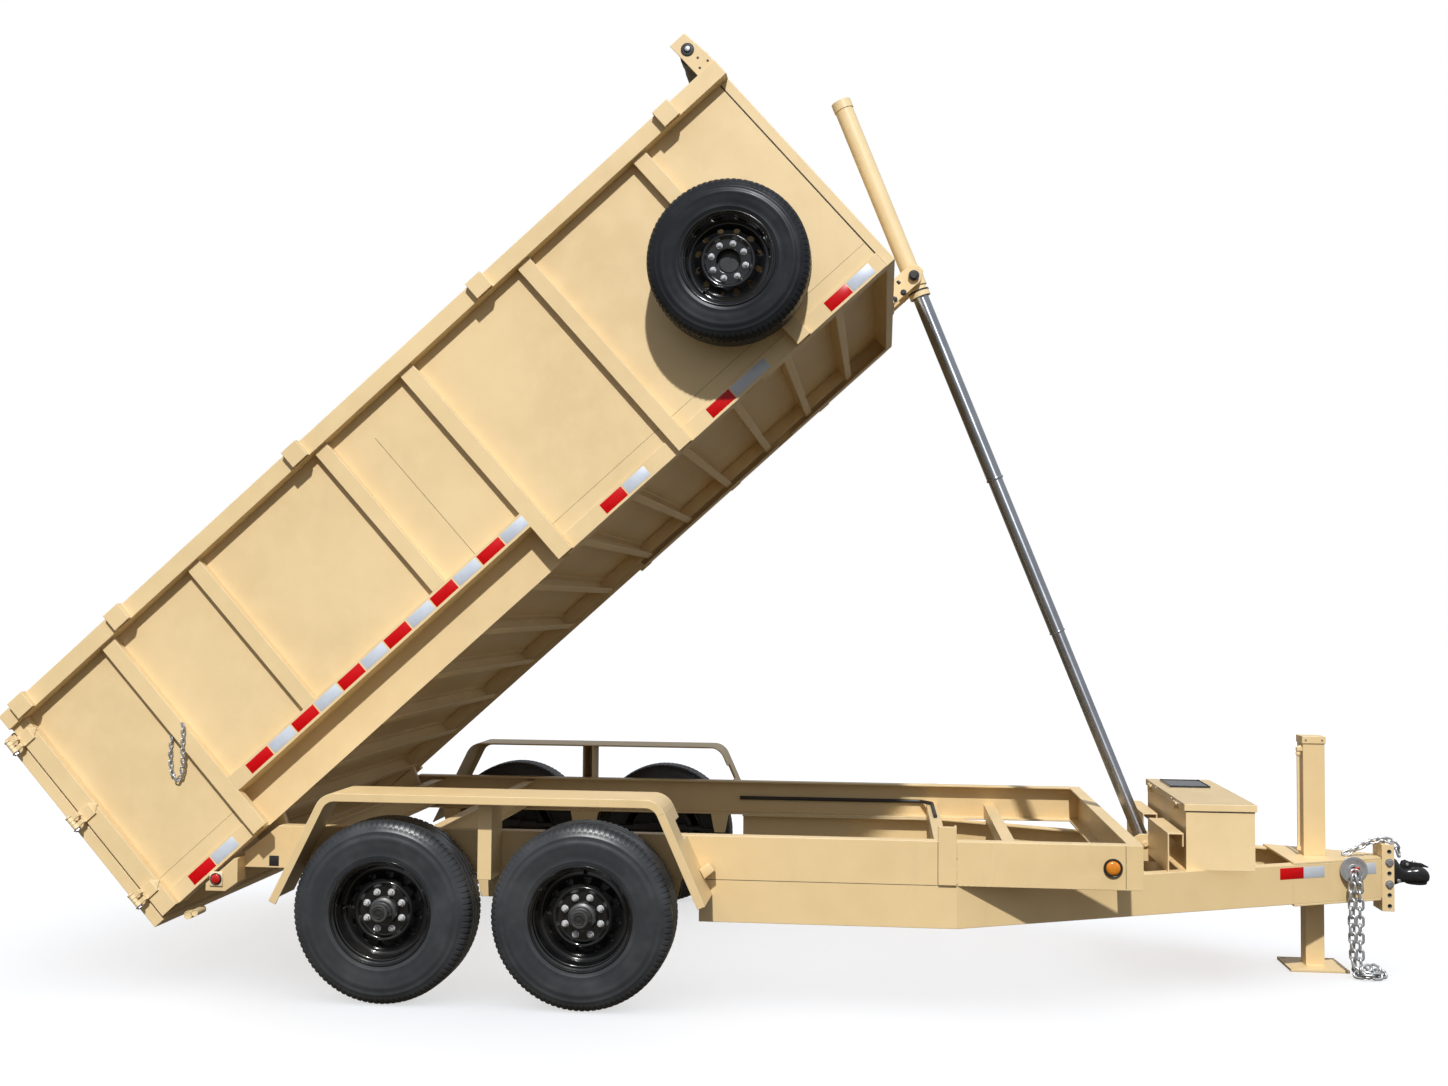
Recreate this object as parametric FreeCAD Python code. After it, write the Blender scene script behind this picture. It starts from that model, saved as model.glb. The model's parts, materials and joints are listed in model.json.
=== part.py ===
import FreeCAD, Part
import math
import os

# A tandem-axle dump trailer, parked with its bed raised.
# Millimetres. +X forward (towards the coupler), +Y to the trailer's left, +Z up.
# The model is laid out about a working origin and shifted at the end, so that the
# finished part's origin is the middle of its bounding box, at floor level.

V = FreeCAD.Vector
os.makedirs("parts", exist_ok=True)

# ----------------------------------------------------------------- driving dimensions
X_ORIGIN = 611.0            # middle of the length, in working coordinates
Y_ORIGIN = -38.0            # middle of the width (the spare stands out on the right)

# wheels and axles
TYRE_R = 391.0              # ST235/80R16
TYRE_W = 235.0
RIM_R = 208.0               # bead seat, 16 in
RIM_LIP_R = 221.0
AXLE_X = (-835.0, 29.0)     # rear, front: 864 mm (34 in) apart
TYRE_OUT = 1283.0           # outer sidewall, each side
STUD_PCD = 165.1            # eight studs
STUDS = 8

# main frame
RAIL_Y = 1025.0             # outer face of the main rails
RAIL_TOP = 712.0
RAIL_BOT = 525.0
RAIL_REAR = -1545.0
RAIL_FRONT = 2375.0
WEB = 8.0
FLANGE = 62.0

# lower beams, which bend in to make the tongue
LOW_BOT = 344.0
LOW_REAR = 500.0
BEND_X = 1600.0
NOSE_X = 3640.0
NOSE_Y = 62.0

# bed, in its own axes: u forward along the floor, v up, turned by the dump angle
DUMP = 41.93                # degrees raised at rest
BED_X, BED_Z = -1880.4, 312.6   # rear bottom edge of the bed, raised
BED_L = 4320.0
POST_OUT = 1126.0           # outer face of the posts
SHEET_OUT = 1085.0          # outer face of the side sheet
SHEET = 4.0
RECESS_Y = 1015.0           # outer face of the band that drops between the fenders
TOP_LO, TOP_HI = 1088.0, 1165.0
TOP_OUT = 1150.0
LEDGE_LO, LEDGE_HI = 190.0, 265.0
FLOOR_V = 99.0              # top of the floor sheet
PIVOT_U, PIVOT_V = 564.0, -120.0
RECESS_U0, RECESS_U1 = 600.0, 2416.0

# hoist
TRUN_U, TRUN_V = 4492.0, 40.0   # trunnion of the barrel, on the bed
PIN_X, PIN_Z = 2547.3, 573.5    # pin of the last stage, on the frame
BARREL_R, BARREL_IR = 46.5, 40.5
STAGE_R = (39.5, 36.3, 33.1)
STAGE_IR = (36.8, 33.6, 0.0)

# fenders
FEND_TOP = 895.0
FEND_OUT = 1295.5
FEND_IN = 1027.0

OUT = {}


# ----------------------------------------------------------------- helpers
def box(x0, x1, y0, y1, z0, z1):
    x0, x1 = min(x0, x1), max(x0, x1)
    y0, y1 = min(y0, y1), max(y0, y1)
    z0, z1 = min(z0, z1), max(z0, z1)
    return Part.makeBox(x1 - x0, y1 - y0, z1 - z0, V(x0, y0, z0))


def cyl(p, d, r, h):
    return Part.makeCylinder(r, h, V(*p), V(*d))


def cyl_y(x, z, r, y0, y1):
    y0, y1 = min(y0, y1), max(y0, y1)
    return Part.makeCylinder(r, y1 - y0, V(x, y0, z), V(0, 1, 0))


def prism_y(pts, y0, y1):
    # polygon of (x, z) points, pulled along Y
    y0, y1 = min(y0, y1), max(y0, y1)
    w = Part.makePolygon([V(x, y0, z) for x, z in pts] + [V(pts[0][0], y0, pts[0][1])])
    return Part.Face(w).extrude(V(0, y1 - y0, 0))


def prism_z(pts, z0, z1):
    # polygon of (x, y) points, pulled along Z
    w = Part.makePolygon([V(x, y, z0) for x, y in pts] + [V(pts[0][0], pts[0][1], z0)])
    return Part.Face(w).extrude(V(0, 0, z1 - z0))


def prism_x(pts, x0, x1):
    # polygon of (y, z) points, pulled along X
    w = Part.makePolygon([V(x0, y, z) for y, z in pts] + [V(x0, pts[0][0], pts[0][1])])
    return Part.Face(w).extrude(V(x1 - x0, 0, 0))


def revolve_y(pts, x, y, z):
    # closed profile of (radius, y offset) points, turned about an axis along Y
    w = Part.makePolygon([V(x + r, y + o, z) for r, o in pts] + [V(x + pts[0][0], y + pts[0][1], z)])
    return Part.Face(w).revolve(V(x, y, z), V(0, 1, 0), 360)


def fuse(shapes):
    s = shapes[0].fuse(shapes[1:]) if len(shapes) > 1 else shapes[0]
    return s.removeSplitter()


def mirror(s):
    return s.mirror(V(0, 0, 0), V(0, 1, 0))


def pair(s):
    return [s, mirror(s)]


def bed(s):
    # from bed axes (u, y, v) to where the raised bed stands
    s = s.copy()
    s.rotate(V(0, 0, 0), V(0, -1, 0), DUMP)
    s.translate(V(BED_X, 0, BED_Z))
    return s


def bed_point(u, v):
    a = math.radians(DUMP)
    return (BED_X + u * math.cos(a) - v * math.sin(a), BED_Z + u * math.sin(a) + v * math.cos(a))


def put(name, *shapes):
    flat = []
    for s in shapes:
        flat.extend(s if isinstance(s, (list, tuple)) else [s])
    solids = []
    for s in flat:
        solids.extend(s.Solids)
    OUT[name] = solids


# ----------------------------------------------------------------- main rails and lower beams
def channel_outline(y_out, z0, z1, web, flange, t):
    # (y, z) outline of a channel whose web is on the outside, on the right-hand side
    return [(-y_out, z0), (-y_out + flange, z0), (-y_out + flange, z0 + t), (-y_out + web, z0 + t),
            (-y_out + web, z1 - t), (-y_out + flange, z1 - t), (-y_out + flange, z1), (-y_out, z1)]


rail = prism_x(channel_outline(RAIL_Y, RAIL_BOT, RAIL_TOP, WEB, FLANGE, 9.0), RAIL_REAR, RAIL_FRONT)
rear_cut = prism_y([(RAIL_REAR - 5, 588), (-1383, 716), (-1383, 760), (RAIL_REAR - 5, 760)], -1100, -900)
rail = rail.cut(rear_cut)
# box stiffener over the bend of the lower beam
stiff = box(1523, 1600, -RAIL_Y - 9, -RAIL_Y, 528, 775)
guide = fuse([stiff, box(1523, 1600, -RAIL_Y - 9, -RAIL_Y + 40, 712, 775).cut(
    box(1531, 1592, -RAIL_Y, -RAIL_Y + 41, 700, 790))])
far_stiff = box(1523, 1600, -RAIL_Y - 9, -RAIL_Y, 528, RAIL_TOP)
put("main_rails", fuse([rail, guide]), mirror(fuse([rail, far_stiff])))

# lower beam: straight under the main rail, then bent in towards the coupler
dx, dy = NOSE_X - BEND_X, RAIL_Y - NOSE_Y
ang = math.atan2(dy, dx)


def beam_plan(off0, off1):
    # plan outline of a strip between two offsets inward from the beam's outer face
    k = math.tan(ang / 2)
    nx, ny = math.sin(ang), math.cos(ang)
    pts = []
    for off, seq in ((off0, 1), (off1, -1)):
        a = (LOW_REAR, -RAIL_Y + off)
        b = (BEND_X - off * k, -RAIL_Y + off)
        # end on the plane x = NOSE_X
        t = (NOSE_X - b[0]) / math.cos(ang)
        c = (NOSE_X, b[1] + t * math.sin(ang))
        pts += [a, b, c] if seq == 1 else [c, b, a]
    return pts


beam = fuse([prism_z(beam_plan(0, WEB), LOW_BOT, RAIL_BOT),
             prism_z(beam_plan(0, FLANGE), LOW_BOT, LOW_BOT + 9),
             prism_z(beam_plan(0, FLANGE), RAIL_BOT - 9, RAIL_BOT)])
beam = beam.cut(box(3400, 3700, -1.0, 200, 300, 600))
# the rear end of the lower beam is cut back to the rail
put("tongue_beams", pair(beam))


def beam_inner_y(x, off=0.0):
    # y of the beam's outer face at a station, on the right-hand side
    if x <= BEND_X:
        return -RAIL_Y + off
    return -RAIL_Y + (x - BEND_X) * math.tan(ang) + off / math.cos(ang)


# ----------------------------------------------------------------- cross-members
# columns: x of the member's rear face, depth along x, z low, z high
CROSS = [(-1295, 50, 560, 690), (-760, 50, 560, 690),
         (1531, 60, 536, 604), (1850, 60, 536, 604)]
members = []
for x, d, z0, z1 in CROSS:
    y = RAIL_Y - WEB
    members.append(fuse([box(x, x + 6, -y, y, z0, z1), box(x, x + d, -y, y, z0, z0 + 6),
                         box(x, x + d, -y, y, z1 - 6, z1)]))
y = RAIL_Y - WEB
put("frame_crossmembers", members, fuse([box(RAIL_FRONT - 8, RAIL_FRONT, -y, y, RAIL_BOT + 9, RAIL_TOP - 9),
                               box(RAIL_FRONT - 60, RAIL_FRONT, -RAIL_Y + FLANGE, RAIL_Y - FLANGE, RAIL_TOP - 9, RAIL_TOP),
                               box(RAIL_FRONT - 60, RAIL_FRONT, -RAIL_Y + FLANGE, RAIL_Y - FLANGE, RAIL_BOT, RAIL_BOT + 9)]))

# tongue: cross tie under the toolbox, cross tie at the jack, top and bottom plates at the nose
ties = []
for x in (2420.0, 2630.0, 2980.0):
    yb = -beam_inner_y(x + 60, WEB) - 1.0
    ties.append(fuse([box(x, x + 6, -yb, yb, 360, 516), box(x, x + 50, -yb, yb, 360, 366),
                      box(x, x + 50, -yb, yb, 510, 516)]))


def nose_plate(x0, x1, z0, z1, inset=0.0):
    a, b = -beam_inner_y(x0) - inset, -beam_inner_y(x1) - inset
    return prism_z([(x0, -a), (x1, -b), (x1, b), (x0, a)], z0, z1)


jack_hole = box(3284, 3392, -53, 53, 300, 600)
top_plate = nose_plate(3180, 3636, RAIL_BOT, RAIL_BOT + 10).cut(jack_hole)
low_plate = nose_plate(3180, 3636, LOW_BOT - 10, LOW_BOT).cut(jack_hole)
put("tongue_plates", ties, top_plate, low_plate)

# ----------------------------------------------------------------- coupler
ch_x0, ch_x1 = NOSE_X, NOSE_X + 56
chan = fuse([box(ch_x0, ch_x0 + 10, -66, 66, 283, 596), box(ch_x0, ch_x1, -66, -56, 283, 596),
             box(ch_x0, ch_x1, 56, 66, 283, 596)])
HOLES = (308.0, 359.0, 410.0, 461.0, 512.0, 563.0)
for z in HOLES:
    chan = chan.cut(cyl_y(ch_x0 + 34, z, 9.0, -80, 80))
put("coupler_channel", chan)
# coupler: a block bolted between the channel's flanges, with a ball socket underneath
cz = 461.0
BALL_X = 3815.0
BALL_R = 29.9
body = fuse([box(ch_x0 + 12, ch_x1 + 30, -55.5, 55.5, cz - 76, cz + 76),
             box(ch_x1 + 20, BALL_X, -42, 42, cz - 30, cz + 34),
             cyl((BALL_X, 0, cz - 30), (0, 0, 1), 50, 64),
             box(ch_x1 + 40, BALL_X + 10, -12, 12, cz + 30, cz + 62)])
body = body.cut(cyl((BALL_X, 0, cz - 40), (0, 0, 1), BALL_R, 52))
for z in (410.0, 512.0):
    body = body.cut(cyl_y(ch_x0 + 34, z, 8.2, -80, 80))
bolts = []
for z in (410.0, 512.0):
    bolts.append(fuse([cyl_y(ch_x0 + 34, z, 7.9, -66, 66), cyl_y(ch_x0 + 34, z, 14, -77, -66),
                       cyl_y(ch_x0 + 34, z, 14, 66, 79)]))
latch = fuse([box(BALL_X - 4, BALL_X + 60, -9, 9, cz + 63, cz + 72), box(BALL_X + 42, BALL_X + 60, -9, 9, cz + 30, cz + 64)])
put("coupler", fuse([body, latch] + bolts))

# ----------------------------------------------------------------- jack
JX0, JX1, JH = 3288.0, 3388.0, 50.0
jack = box(JX0, JX1, -JH, JH, 330, 1066).cut(box(JX0 + 6, JX1 - 6, -JH + 6, JH - 6, 320, 1056))
cap = box(JX0 - 4, JX1 + 4, -JH - 4, JH + 4, 1066, 1100)
put("jack_tube", fuse([jack, cap]))
leg = box(JX0 + 7, JX1 - 7, -JH + 7, JH - 7, 12, 1000).cut(box(JX0 + 13, JX1 - 13, -JH + 13, JH - 13, 20, 1001))
foot = box(3204, 3472, -125, 125, 0, 12)
put("jack_leg", fuse([leg, foot]))

# ----------------------------------------------------------------- toolbox
TX0, TX1, TY, TZ0, TZ1 = 2655.0, 2958.0, 488.0, RAIL_BOT, 794.0
tb = box(TX0, TX1, -TY, TY, TZ0, TZ1).cut(box(TX0 + 3, TX1 - 3, -TY + 3, TY - 3, TZ0 + 3, TZ1 + 5))
LID_HX, LID_HZ = TX0 - 16.0, 808.0
lid = box(TX0 - 8.5, TX1 + 8.5, -TY - 8.5, TY + 8.5, 792, 823).cut(box(TX0 - 5.5, TX1 + 5.5, -TY - 5.5, TY + 5.5, 780, 820))
# leaves of the two lid hinges
knuckles = [cyl_y(LID_HX, LID_HZ, 6.0, s * 330 - 20, s * 330 + 20) for s in (-1, 1)]
leaves = [box(LID_HX, TX0 - 7, s * 330 - 20, s * 330 + 20, LID_HZ - 2, LID_HZ + 2) for s in (-1, 1)]
put("toolbox_lid", fuse([lid] + knuckles + leaves))
kn2 = []
for s in (-1, 1):
    kn2.append(fuse([cyl_y(LID_HX, LID_HZ, 6.0, s * 330 + 21, s * 330 + 45),
                     box(LID_HX, TX0, s * 330 + 21, s * 330 + 45, LID_HZ - 34, LID_HZ - 22),
                     box(LID_HX - 5, LID_HX - 1, s * 330 + 21, s * 330 + 45, LID_HZ - 34, LID_HZ)]))
put("toolbox_body", fuse([tb] + kn2))
put("solar_panel", box(2700, 2895, 130, 400, 823, 830))
put("power_unit", box(2680, 2860, -420, -120, TZ0 + 3, TZ0 + 215),
    fuse([box(2690, 2850, 60, 200, TZ0 + 3, TZ0 + 160), cyl_y(2770, TZ0 + 90, 60, 200, 400)]))
# folded plate that runs across behind the toolbox
step = fuse([box(2560, 2566, -560, 560, RAIL_BOT, 700), box(2560, 2630, -560, 560, 694, 700),
             box(2624, 2630, -560, 560, 640, 700)])
step = step.cut(box(2500, 2640, -77, 77, 500, 800))
put("step_plate", step)

# ----------------------------------------------------------------- lower hoist bracket
PINR = 13.0
ears = []
for s in (-1, 1):
    e = prism_y([(2474, 490), (2624, 490), (2624, 520), (2600, PIN_Z + 30), (2575, PIN_Z + 46),
                 (2520, PIN_Z + 46), (2495, PIN_Z + 30)], s * 52, s * 64)
    ears.append(e)
base = fuse(ears + [box(2426, 2630, -64, 64, 490, 498), cyl_y(PIN_X, PIN_Z, PINR, -76, 76)])
put("hoist_base", base)

# ----------------------------------------------------------------- fenders
def fender():
    # corner points of the outer line, from the rear foot to the front foot, with the bends' radius
    line = [(-1318, 434), (-1092, FEND_TOP), (362, FEND_TOP), (558, 462)]
    bend = 90.0
    legs, arcs = [], []
    start = line[0]
    for i in (1, 2):
        (ax, az), (bx, bz), (cx, cz) = line[i - 1], line[i], line[i + 1]
        la, lc = math.hypot(bx - ax, bz - az), math.hypot(cx - bx, cz - bz)
        ux, uz = (bx - ax) / la, (bz - az) / la
        wx, wz = (cx - bx) / lc, (cz - bz) / lc
        turn = math.acos(ux * wx + uz * wz)
        d = bend * math.tan(turn / 2)
        p0, p1 = (bx - ux * d, bz - uz * d), (bx + wx * d, bz + wz * d)
        legs.append((start, p0))
        centre = (p0[0] + uz * bend, p0[1] - ux * bend)
        arcs.append((p0, p1, centre, (ux, uz), turn))
        start = p1
    legs.append((start, line[3]))
    out = []

    def strip(p, q, t, y0, y1):
        ll = math.hypot(q[0] - p[0], q[1] - p[1])
        nx, nz = (q[1] - p[1]) / ll, -(q[0] - p[0]) / ll
        return prism_y([p, q, (q[0] + nx * t, q[1] + nz * t), (p[0] + nx * t, p[1] + nz * t)], y0, y1)

    def sector(arc, t, y0, y1):
        p0, p1, c, u, turn = arc
        n = 6
        ring = []
        for r in (bend, bend - t):
            pts = []
            for k in range(n + 1):
                b = turn * k / n
                vx, vz = (p0[0] - c[0]) / bend, (p0[1] - c[1]) / bend
                pts.append((c[0] + r * (vx * math.cos(b) + u[0] * math.sin(b)), c[1] + r * (vz * math.cos(b) + u[1] * math.sin(b))))
            ring.append(pts)
        return prism_y(ring[0] + ring[1][::-1], y0, y1)

    IN = -FEND_OUT + 6
    # rear slope, top, front slope notched beside the rail where the bed's post comes down
    out.append(strip(*legs[0], 6, IN, -FEND_IN))
    out.append(strip(*legs[1], 6, IN, -FEND_IN))
    out.append(strip(*legs[2], 6, IN, -1134))
    inner = strip(*legs[2], 6, -1134, -FEND_IN)
    out += inner.common(box(200, 700, -1200, -900, 300, 711)).Solids + inner.common(box(200, 700, -1200, -900, 790, 900)).Solids
    for arc in arcs:
        out.append(sector(arc, 6, IN, -FEND_IN))
        out.append(sector(arc, 34, -FEND_OUT, IN))
    for leg in legs:
        out.append(strip(*leg, 34, -FEND_OUT, IN))
    # brackets to the rail: two between the wheels, one at each foot
    out.append(box(-433, -427, -1200, -RAIL_Y, 530, FEND_TOP - 6))
    out.append(box(-379, -373, -1200, -RAIL_Y, 530, FEND_TOP - 6))
    out.append(box(-427, -379, -1200, -1194, 530, FEND_TOP - 6))
    out.append(box(-1248.4, -1210, -1060, -RAIL_Y, 556, 562))
    out.append(box(468, 506, -1060, -RAIL_Y, 556, 562))
    return out


f = fender()
put("fender_right", f)
put("fender_left", [mirror(p) for p in f])

# ----------------------------------------------------------------- axles and suspension
for i, name in enumerate(("axle_rear", "axle_front")):
    x = AXLE_X[i]
    tube = cyl_y(x, TYRE_R, 38.0, -1032, 1032)
    spin = [cyl_y(x, TYRE_R, 24.44, s * 1032, s * 1227) for s in (-1, 1)]
    drum_back = [cyl_y(x, TYRE_R, 160.0, s * 1033, s * 1041) for s in (-1, 1)]
    put(name, fuse([tube] + spin + drum_back))

sus = []
SP_Y0, SP_Y1 = 955.0, 1015.0
for s in (-1, 1):
    for i in (0, 1):
        x = AXLE_X[i]
        # leaf pack over the axle, three thicknesses
        pack = fuse([box(x - 330, x + 330, s * SP_Y0, s * SP_Y1, 431, 441),
                     box(x - 240, x + 240, s * SP_Y0, s * SP_Y1, 441, 450),
                     box(x - 150, x + 150, s * SP_Y0, s * SP_Y1, 450, 459),
                     box(x - 70, x + 70, s * (SP_Y0 - 6), s * (SP_Y1 + 4), 429, 431),
                     box(x - 60, x + 60, s * (SP_Y0 - 6), s * (SP_Y1 + 4), 459, 468)])
        sus.append(pack)
hang = []
mid = 0.5 * (AXLE_X[0] + AXLE_X[1])
for s in (-1, 1):
    for xc, w in ((AXLE_X[0] - 345, 60), (mid, 120), (AXLE_X[1] + 345, 60)):
        h = prism_y([(xc - w / 2 - 20, RAIL_BOT), (xc + w / 2 + 20, RAIL_BOT), (xc + w / 2, 425), (xc - w / 2, 425)],
                    s * (SP_Y0 - 14), s * (SP_Y1 + 10))
        h = h.cut(box(xc - 200, xc + 200, s * (SP_Y0 - 4), s * SP_Y1, 400, RAIL_BOT - 8))
        hang.append(h)
put("suspension", sus, hang)

# ----------------------------------------------------------------- rear lights and hinge pins
lb = prism_y([(-1690, 430), (-1690, 462), (-1562, 574), (-1545, 574), (-1545, 470), (-1600, 430)], -1100, -RAIL_Y + WEB)
lb = lb.cut(prism_y([(-1680, 440), (-1680, 458), (-1562, 560), (-1551, 560), (-1551, 476), (-1604, 440)], -1050, -1000))
put("light_boxes", pair(lb))
lens = []
for s in (-1, 1):
    lens.append(cyl((-1690, s * 1072, 446), (-1, 0, 0), 14, 6))
    lens.append(cyl_y(-1645, 458, 17.0, s * 1100, s * 1108))
amb = []
for s in (-1, 1):
    amb.append(fuse([cyl_y(2249.7, 617, 40.0, s * RAIL_Y, s * (RAIL_Y + 6)), cyl_y(2249.7, 617, 28.0, s * (RAIL_Y + 6), s * (RAIL_Y + 18))]))
put("lights", lens, amb)

a = math.radians(DUMP)
PIV_X, PIV_Z = bed_point(PIVOT_U, PIVOT_V)
pins = []
for s in (-1, 1):
    plate = prism_y([(PIV_X - 70, 534), (PIV_X + 60, 534), (PIV_X + 60, 640), (PIV_X + 25, 652), (PIV_X - 25, 640), (PIV_X - 70, 590)],
                    s * 885, s * 897)
    tie = box(PIV_X - 70, PIV_X + 60, s * 885, s * (RAIL_Y - WEB), 534, 542)
    pins.append(fuse([plate, tie, cyl_y(PIV_X, PIV_Z, 19.0, s * 873, s * (RAIL_Y - WEB))]))
put("bed_pivot_pins", pins)

# ----------------------------------------------------------------- bed: floor frame
b_floor = fuse([box(90, RECESS_U0 - 4, -SHEET_OUT + SHEET, SHEET_OUT - SHEET, FLOOR_V - 5, FLOOR_V),
                box(RECESS_U0 - 4, RECESS_U1 + 4, -RECESS_Y + SHEET, RECESS_Y - SHEET, FLOOR_V - 5, FLOOR_V),
                box(RECESS_U1 + 4, 4275, -SHEET_OUT + SHEET, SHEET_OUT - SHEET, FLOOR_V - 5, FLOOR_V)])
put("bed_floor", bed(b_floor))
cm = []
for k in range(13):
    u = 330.0 + 305.0 * k
    w = RECESS_Y - SHEET
    cm.append(fuse([box(u, u + 5, -w, w, 18, FLOOR_V - 5), box(u, u + 38, -w, w, 18, 23),
                    box(u, u + 38, -w, w, FLOOR_V - 10, FLOOR_V - 5)]))
ears = []
for s in (-1, 1):
    e = prism_y([(PIVOT_U - 80, 18), (PIVOT_U + 90, 18), (PIVOT_U + 44, PIVOT_V + 10), (PIVOT_U + 24, PIVOT_V - 36),
                 (PIVOT_U - 24, PIVOT_V - 36), (PIVOT_U - 44, PIVOT_V + 10)], s * 925, s * 950)
    e = e.cut(cyl_y(PIVOT_U, PIVOT_V, 19.06, s * 900, s * 980))
    ears.append(e)
sills = [box(330, 4028, s * 925, s * 931, 23, FLOOR_V - 10) for s in (-1, 1)]
put("bed_floor_frame", bed(fuse(cm + ears + sills)))


# ----------------------------------------------------------------- bed: sides
def side():
    o, i = -SHEET_OUT, -SHEET_OUT + SHEET
    r = -RECESS_Y
    # plates welded edge to edge: the sheet, its foot at both ends, and the recess over the wheels
    return [box(90, 4275, o, i, LEDGE_LO, TOP_LO),
            box(90, RECESS_U0 - 4, o, i, 0, LEDGE_LO), box(RECESS_U1 + 4, 4275, o, i, 0, LEDGE_LO),
            box(RECESS_U0 - 4, RECESS_U1 + 4, i, r + SHEET, LEDGE_LO, LEDGE_LO + 4),
            box(RECESS_U0, RECESS_U1, r, r + SHEET, 0, LEDGE_LO),
            box(RECESS_U0 - 4, RECESS_U0, o, r + SHEET, 0, LEDGE_LO),
            box(RECESS_U1, RECESS_U1 + 4, o, r + SHEET, 0, LEDGE_LO)]


s_r = side()
put("bed_side_right", [bed(p) for p in s_r])
put("bed_side_left", [bed(mirror(p)) for p in s_r])

# posts: columns are u of the rear edge, width along u, v of the foot
POSTS = [(560, 72, 0), (1088, 70, LEDGE_HI), (1865, 70, LEDGE_HI), (2378, 76, 0), (3080, 72, 0), (3765, 72, 0)]
posts = []
for u, w, v0 in POSTS:
    posts.append(box(u, u + w, -POST_OUT, -SHEET_OUT, v0, TOP_LO).cut(
        box(u + 5, u + w - 5, -POST_OUT + 5, -SHEET_OUT + 1, v0 - 1, TOP_LO + 1)))
put("side_posts", [bed(p) for p in posts], [bed(mirror(p)) for p in posts])

# ledge over each fender, and the angle along the foot of the other bays
ledge = box(632, 2378, -POST_OUT, -SHEET_OUT, LEDGE_LO, LEDGE_HI).cut(
    box(632, 2378, -POST_OUT + 5, -SHEET_OUT + 1, LEDGE_LO + 5, LEDGE_HI - 5))
FEET = [(90, 560), (2454, 3080), (3152, 3765), (3837, 4275)]
feet = [fuse([box(u0, u1, -SHEET_OUT - 8, -SHEET_OUT, 0, 75)]) for u0, u1 in FEET]
under = [box(u0, u1, -SHEET_OUT + SHEET, -RECESS_Y + SHEET, 0, 6) for u0, u1 in ((90, 596), (2420, 3458), (3556, 4275))]
low = [ledge] + feet + under
put("lower_rails", [bed(p) for p in low], [bed(mirror(p)) for p in low])

# rear corner posts and rear sill
post1 = box(8, 90, -POST_OUT, -1011, 0, TOP_LO).cut(box(14, 84, -POST_OUT + 6, -1017, -1, TOP_LO + 1))
sill = box(8, 90, -1011, 1011, 0, FLOOR_V).cut(box(14, 91, -1012, 1012, -1, FLOOR_V - 6))
REAR = [post1, mirror(post1), sill]

# front wall with its corner strips
front = fuse([box(4275, 4279, -SHEET_OUT, SHEET_OUT, 0, TOP_LO),
              box(4279, 4320, -SHEET_OUT, -SHEET_OUT + 5, 0, TOP_LO), box(4279, 4320, SHEET_OUT - 5, SHEET_OUT, 0, TOP_LO),
              box(4279, 4320, -SHEET_OUT, SHEET_OUT, 0, 6),
              box(4279, 4320, -1080, 1080, 380, 386), box(4279, 4320, -1080, 1080, 740, 746)])
put("bed_front", bed(front))

# top rail, round three sides
rails = []
tr = box(8, 4320, -TOP_OUT, -SHEET_OUT + 10, TOP_LO, TOP_HI).cut(box(13, 4316, -TOP_OUT + 5, -SHEET_OUT + 5, TOP_LO + 5, TOP_HI - 5))
rails = [tr, mirror(tr)]
fr = box(4245, 4320, -SHEET_OUT + 10, SHEET_OUT - 10, TOP_LO, TOP_HI).cut(
    box(4250, 4315, -SHEET_OUT + 9, SHEET_OUT - 9, TOP_LO + 5, TOP_HI - 5))

# stake pockets on the outside of the top rail: u of the rear edge
POCKETS = (92.0, 684.0, 1766.0, 2866.0, 3966.0)
pk = []
for u in POCKETS:
    p = box(u, u + 86, -TOP_OUT - 36, -TOP_OUT, TOP_LO - 4, TOP_HI + 4).cut(
        box(u + 5, u + 81, -TOP_OUT - 31, -TOP_OUT + 1, TOP_LO - 5, TOP_HI + 5))
    pk.append(p)
TOP = rails + [fr] + pk + [mirror(p) for p in pk]

# ----------------------------------------------------------------- tarp roller
ROLL_U, ROLL_V = 4268.0, 1288.0
br = []
for s in (-1, 1):
    p = prism_y([(4225, TOP_HI), (4320, TOP_HI), (4320, 1215), (4306, 1352), (4222, 1352)], s * 1128, s * 1134)
    q = box(4222, 4320, s * 1100, s * 1128, TOP_HI, TOP_HI + 6)
    p = fuse([p, q])
    br.append(p)
put("top_rail", bed(fuse(TOP + br)))
put("tarp_roller", bed(fuse([cyl_y(ROLL_U, ROLL_V, 46.0, -1050, 1050), cyl_y(ROLL_U, ROLL_V, 19.0, -1128, 1128)])))

# ----------------------------------------------------------------- spare wheel
SP_U, SP_V, SP_R = 3770.0, 428.0, 346.0
SP_Y_OUT = -1372.0
SP_W = 205.0
prof = [(196, 4), (300, 0), (SP_R - 22, 6), (SP_R, 30), (SP_R, SP_W - 30), (SP_R - 22, SP_W - 6), (300, SP_W), (196, SP_W - 4)]
put("spare_tyre", bed(revolve_y(prof, SP_U, SP_Y_OUT, SP_V)))
sr = revolve_y([(188, 6), (195.9, 6), (195.9, SP_W - 6), (188, SP_W - 6)], SP_U, SP_Y_OUT, SP_V)
disc = revolve_y([(42, 95), (120, 95), (188, 70), (188, 78), (122, 103), (42, 103)], SP_U, SP_Y_OUT, SP_V)
put("spare_rim", bed(fuse([sr, disc])))
mount = fuse([cyl_y(SP_U, SP_V, 41.6, SP_Y_OUT + 103 - 6, -SHEET_OUT), box(SP_U - 120, SP_U + 120, SP_Y_OUT + 103.2, SP_Y_OUT + 112, SP_V - 70, SP_V + 70),
              ])
for du in (-90, 90):
    mount = mount.fuse(box(SP_U + du - 22, SP_U + du + 22, SP_Y_OUT + 112, -POST_OUT if du < 50 else -SHEET_OUT, SP_V - 25, SP_V + 25))
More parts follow.
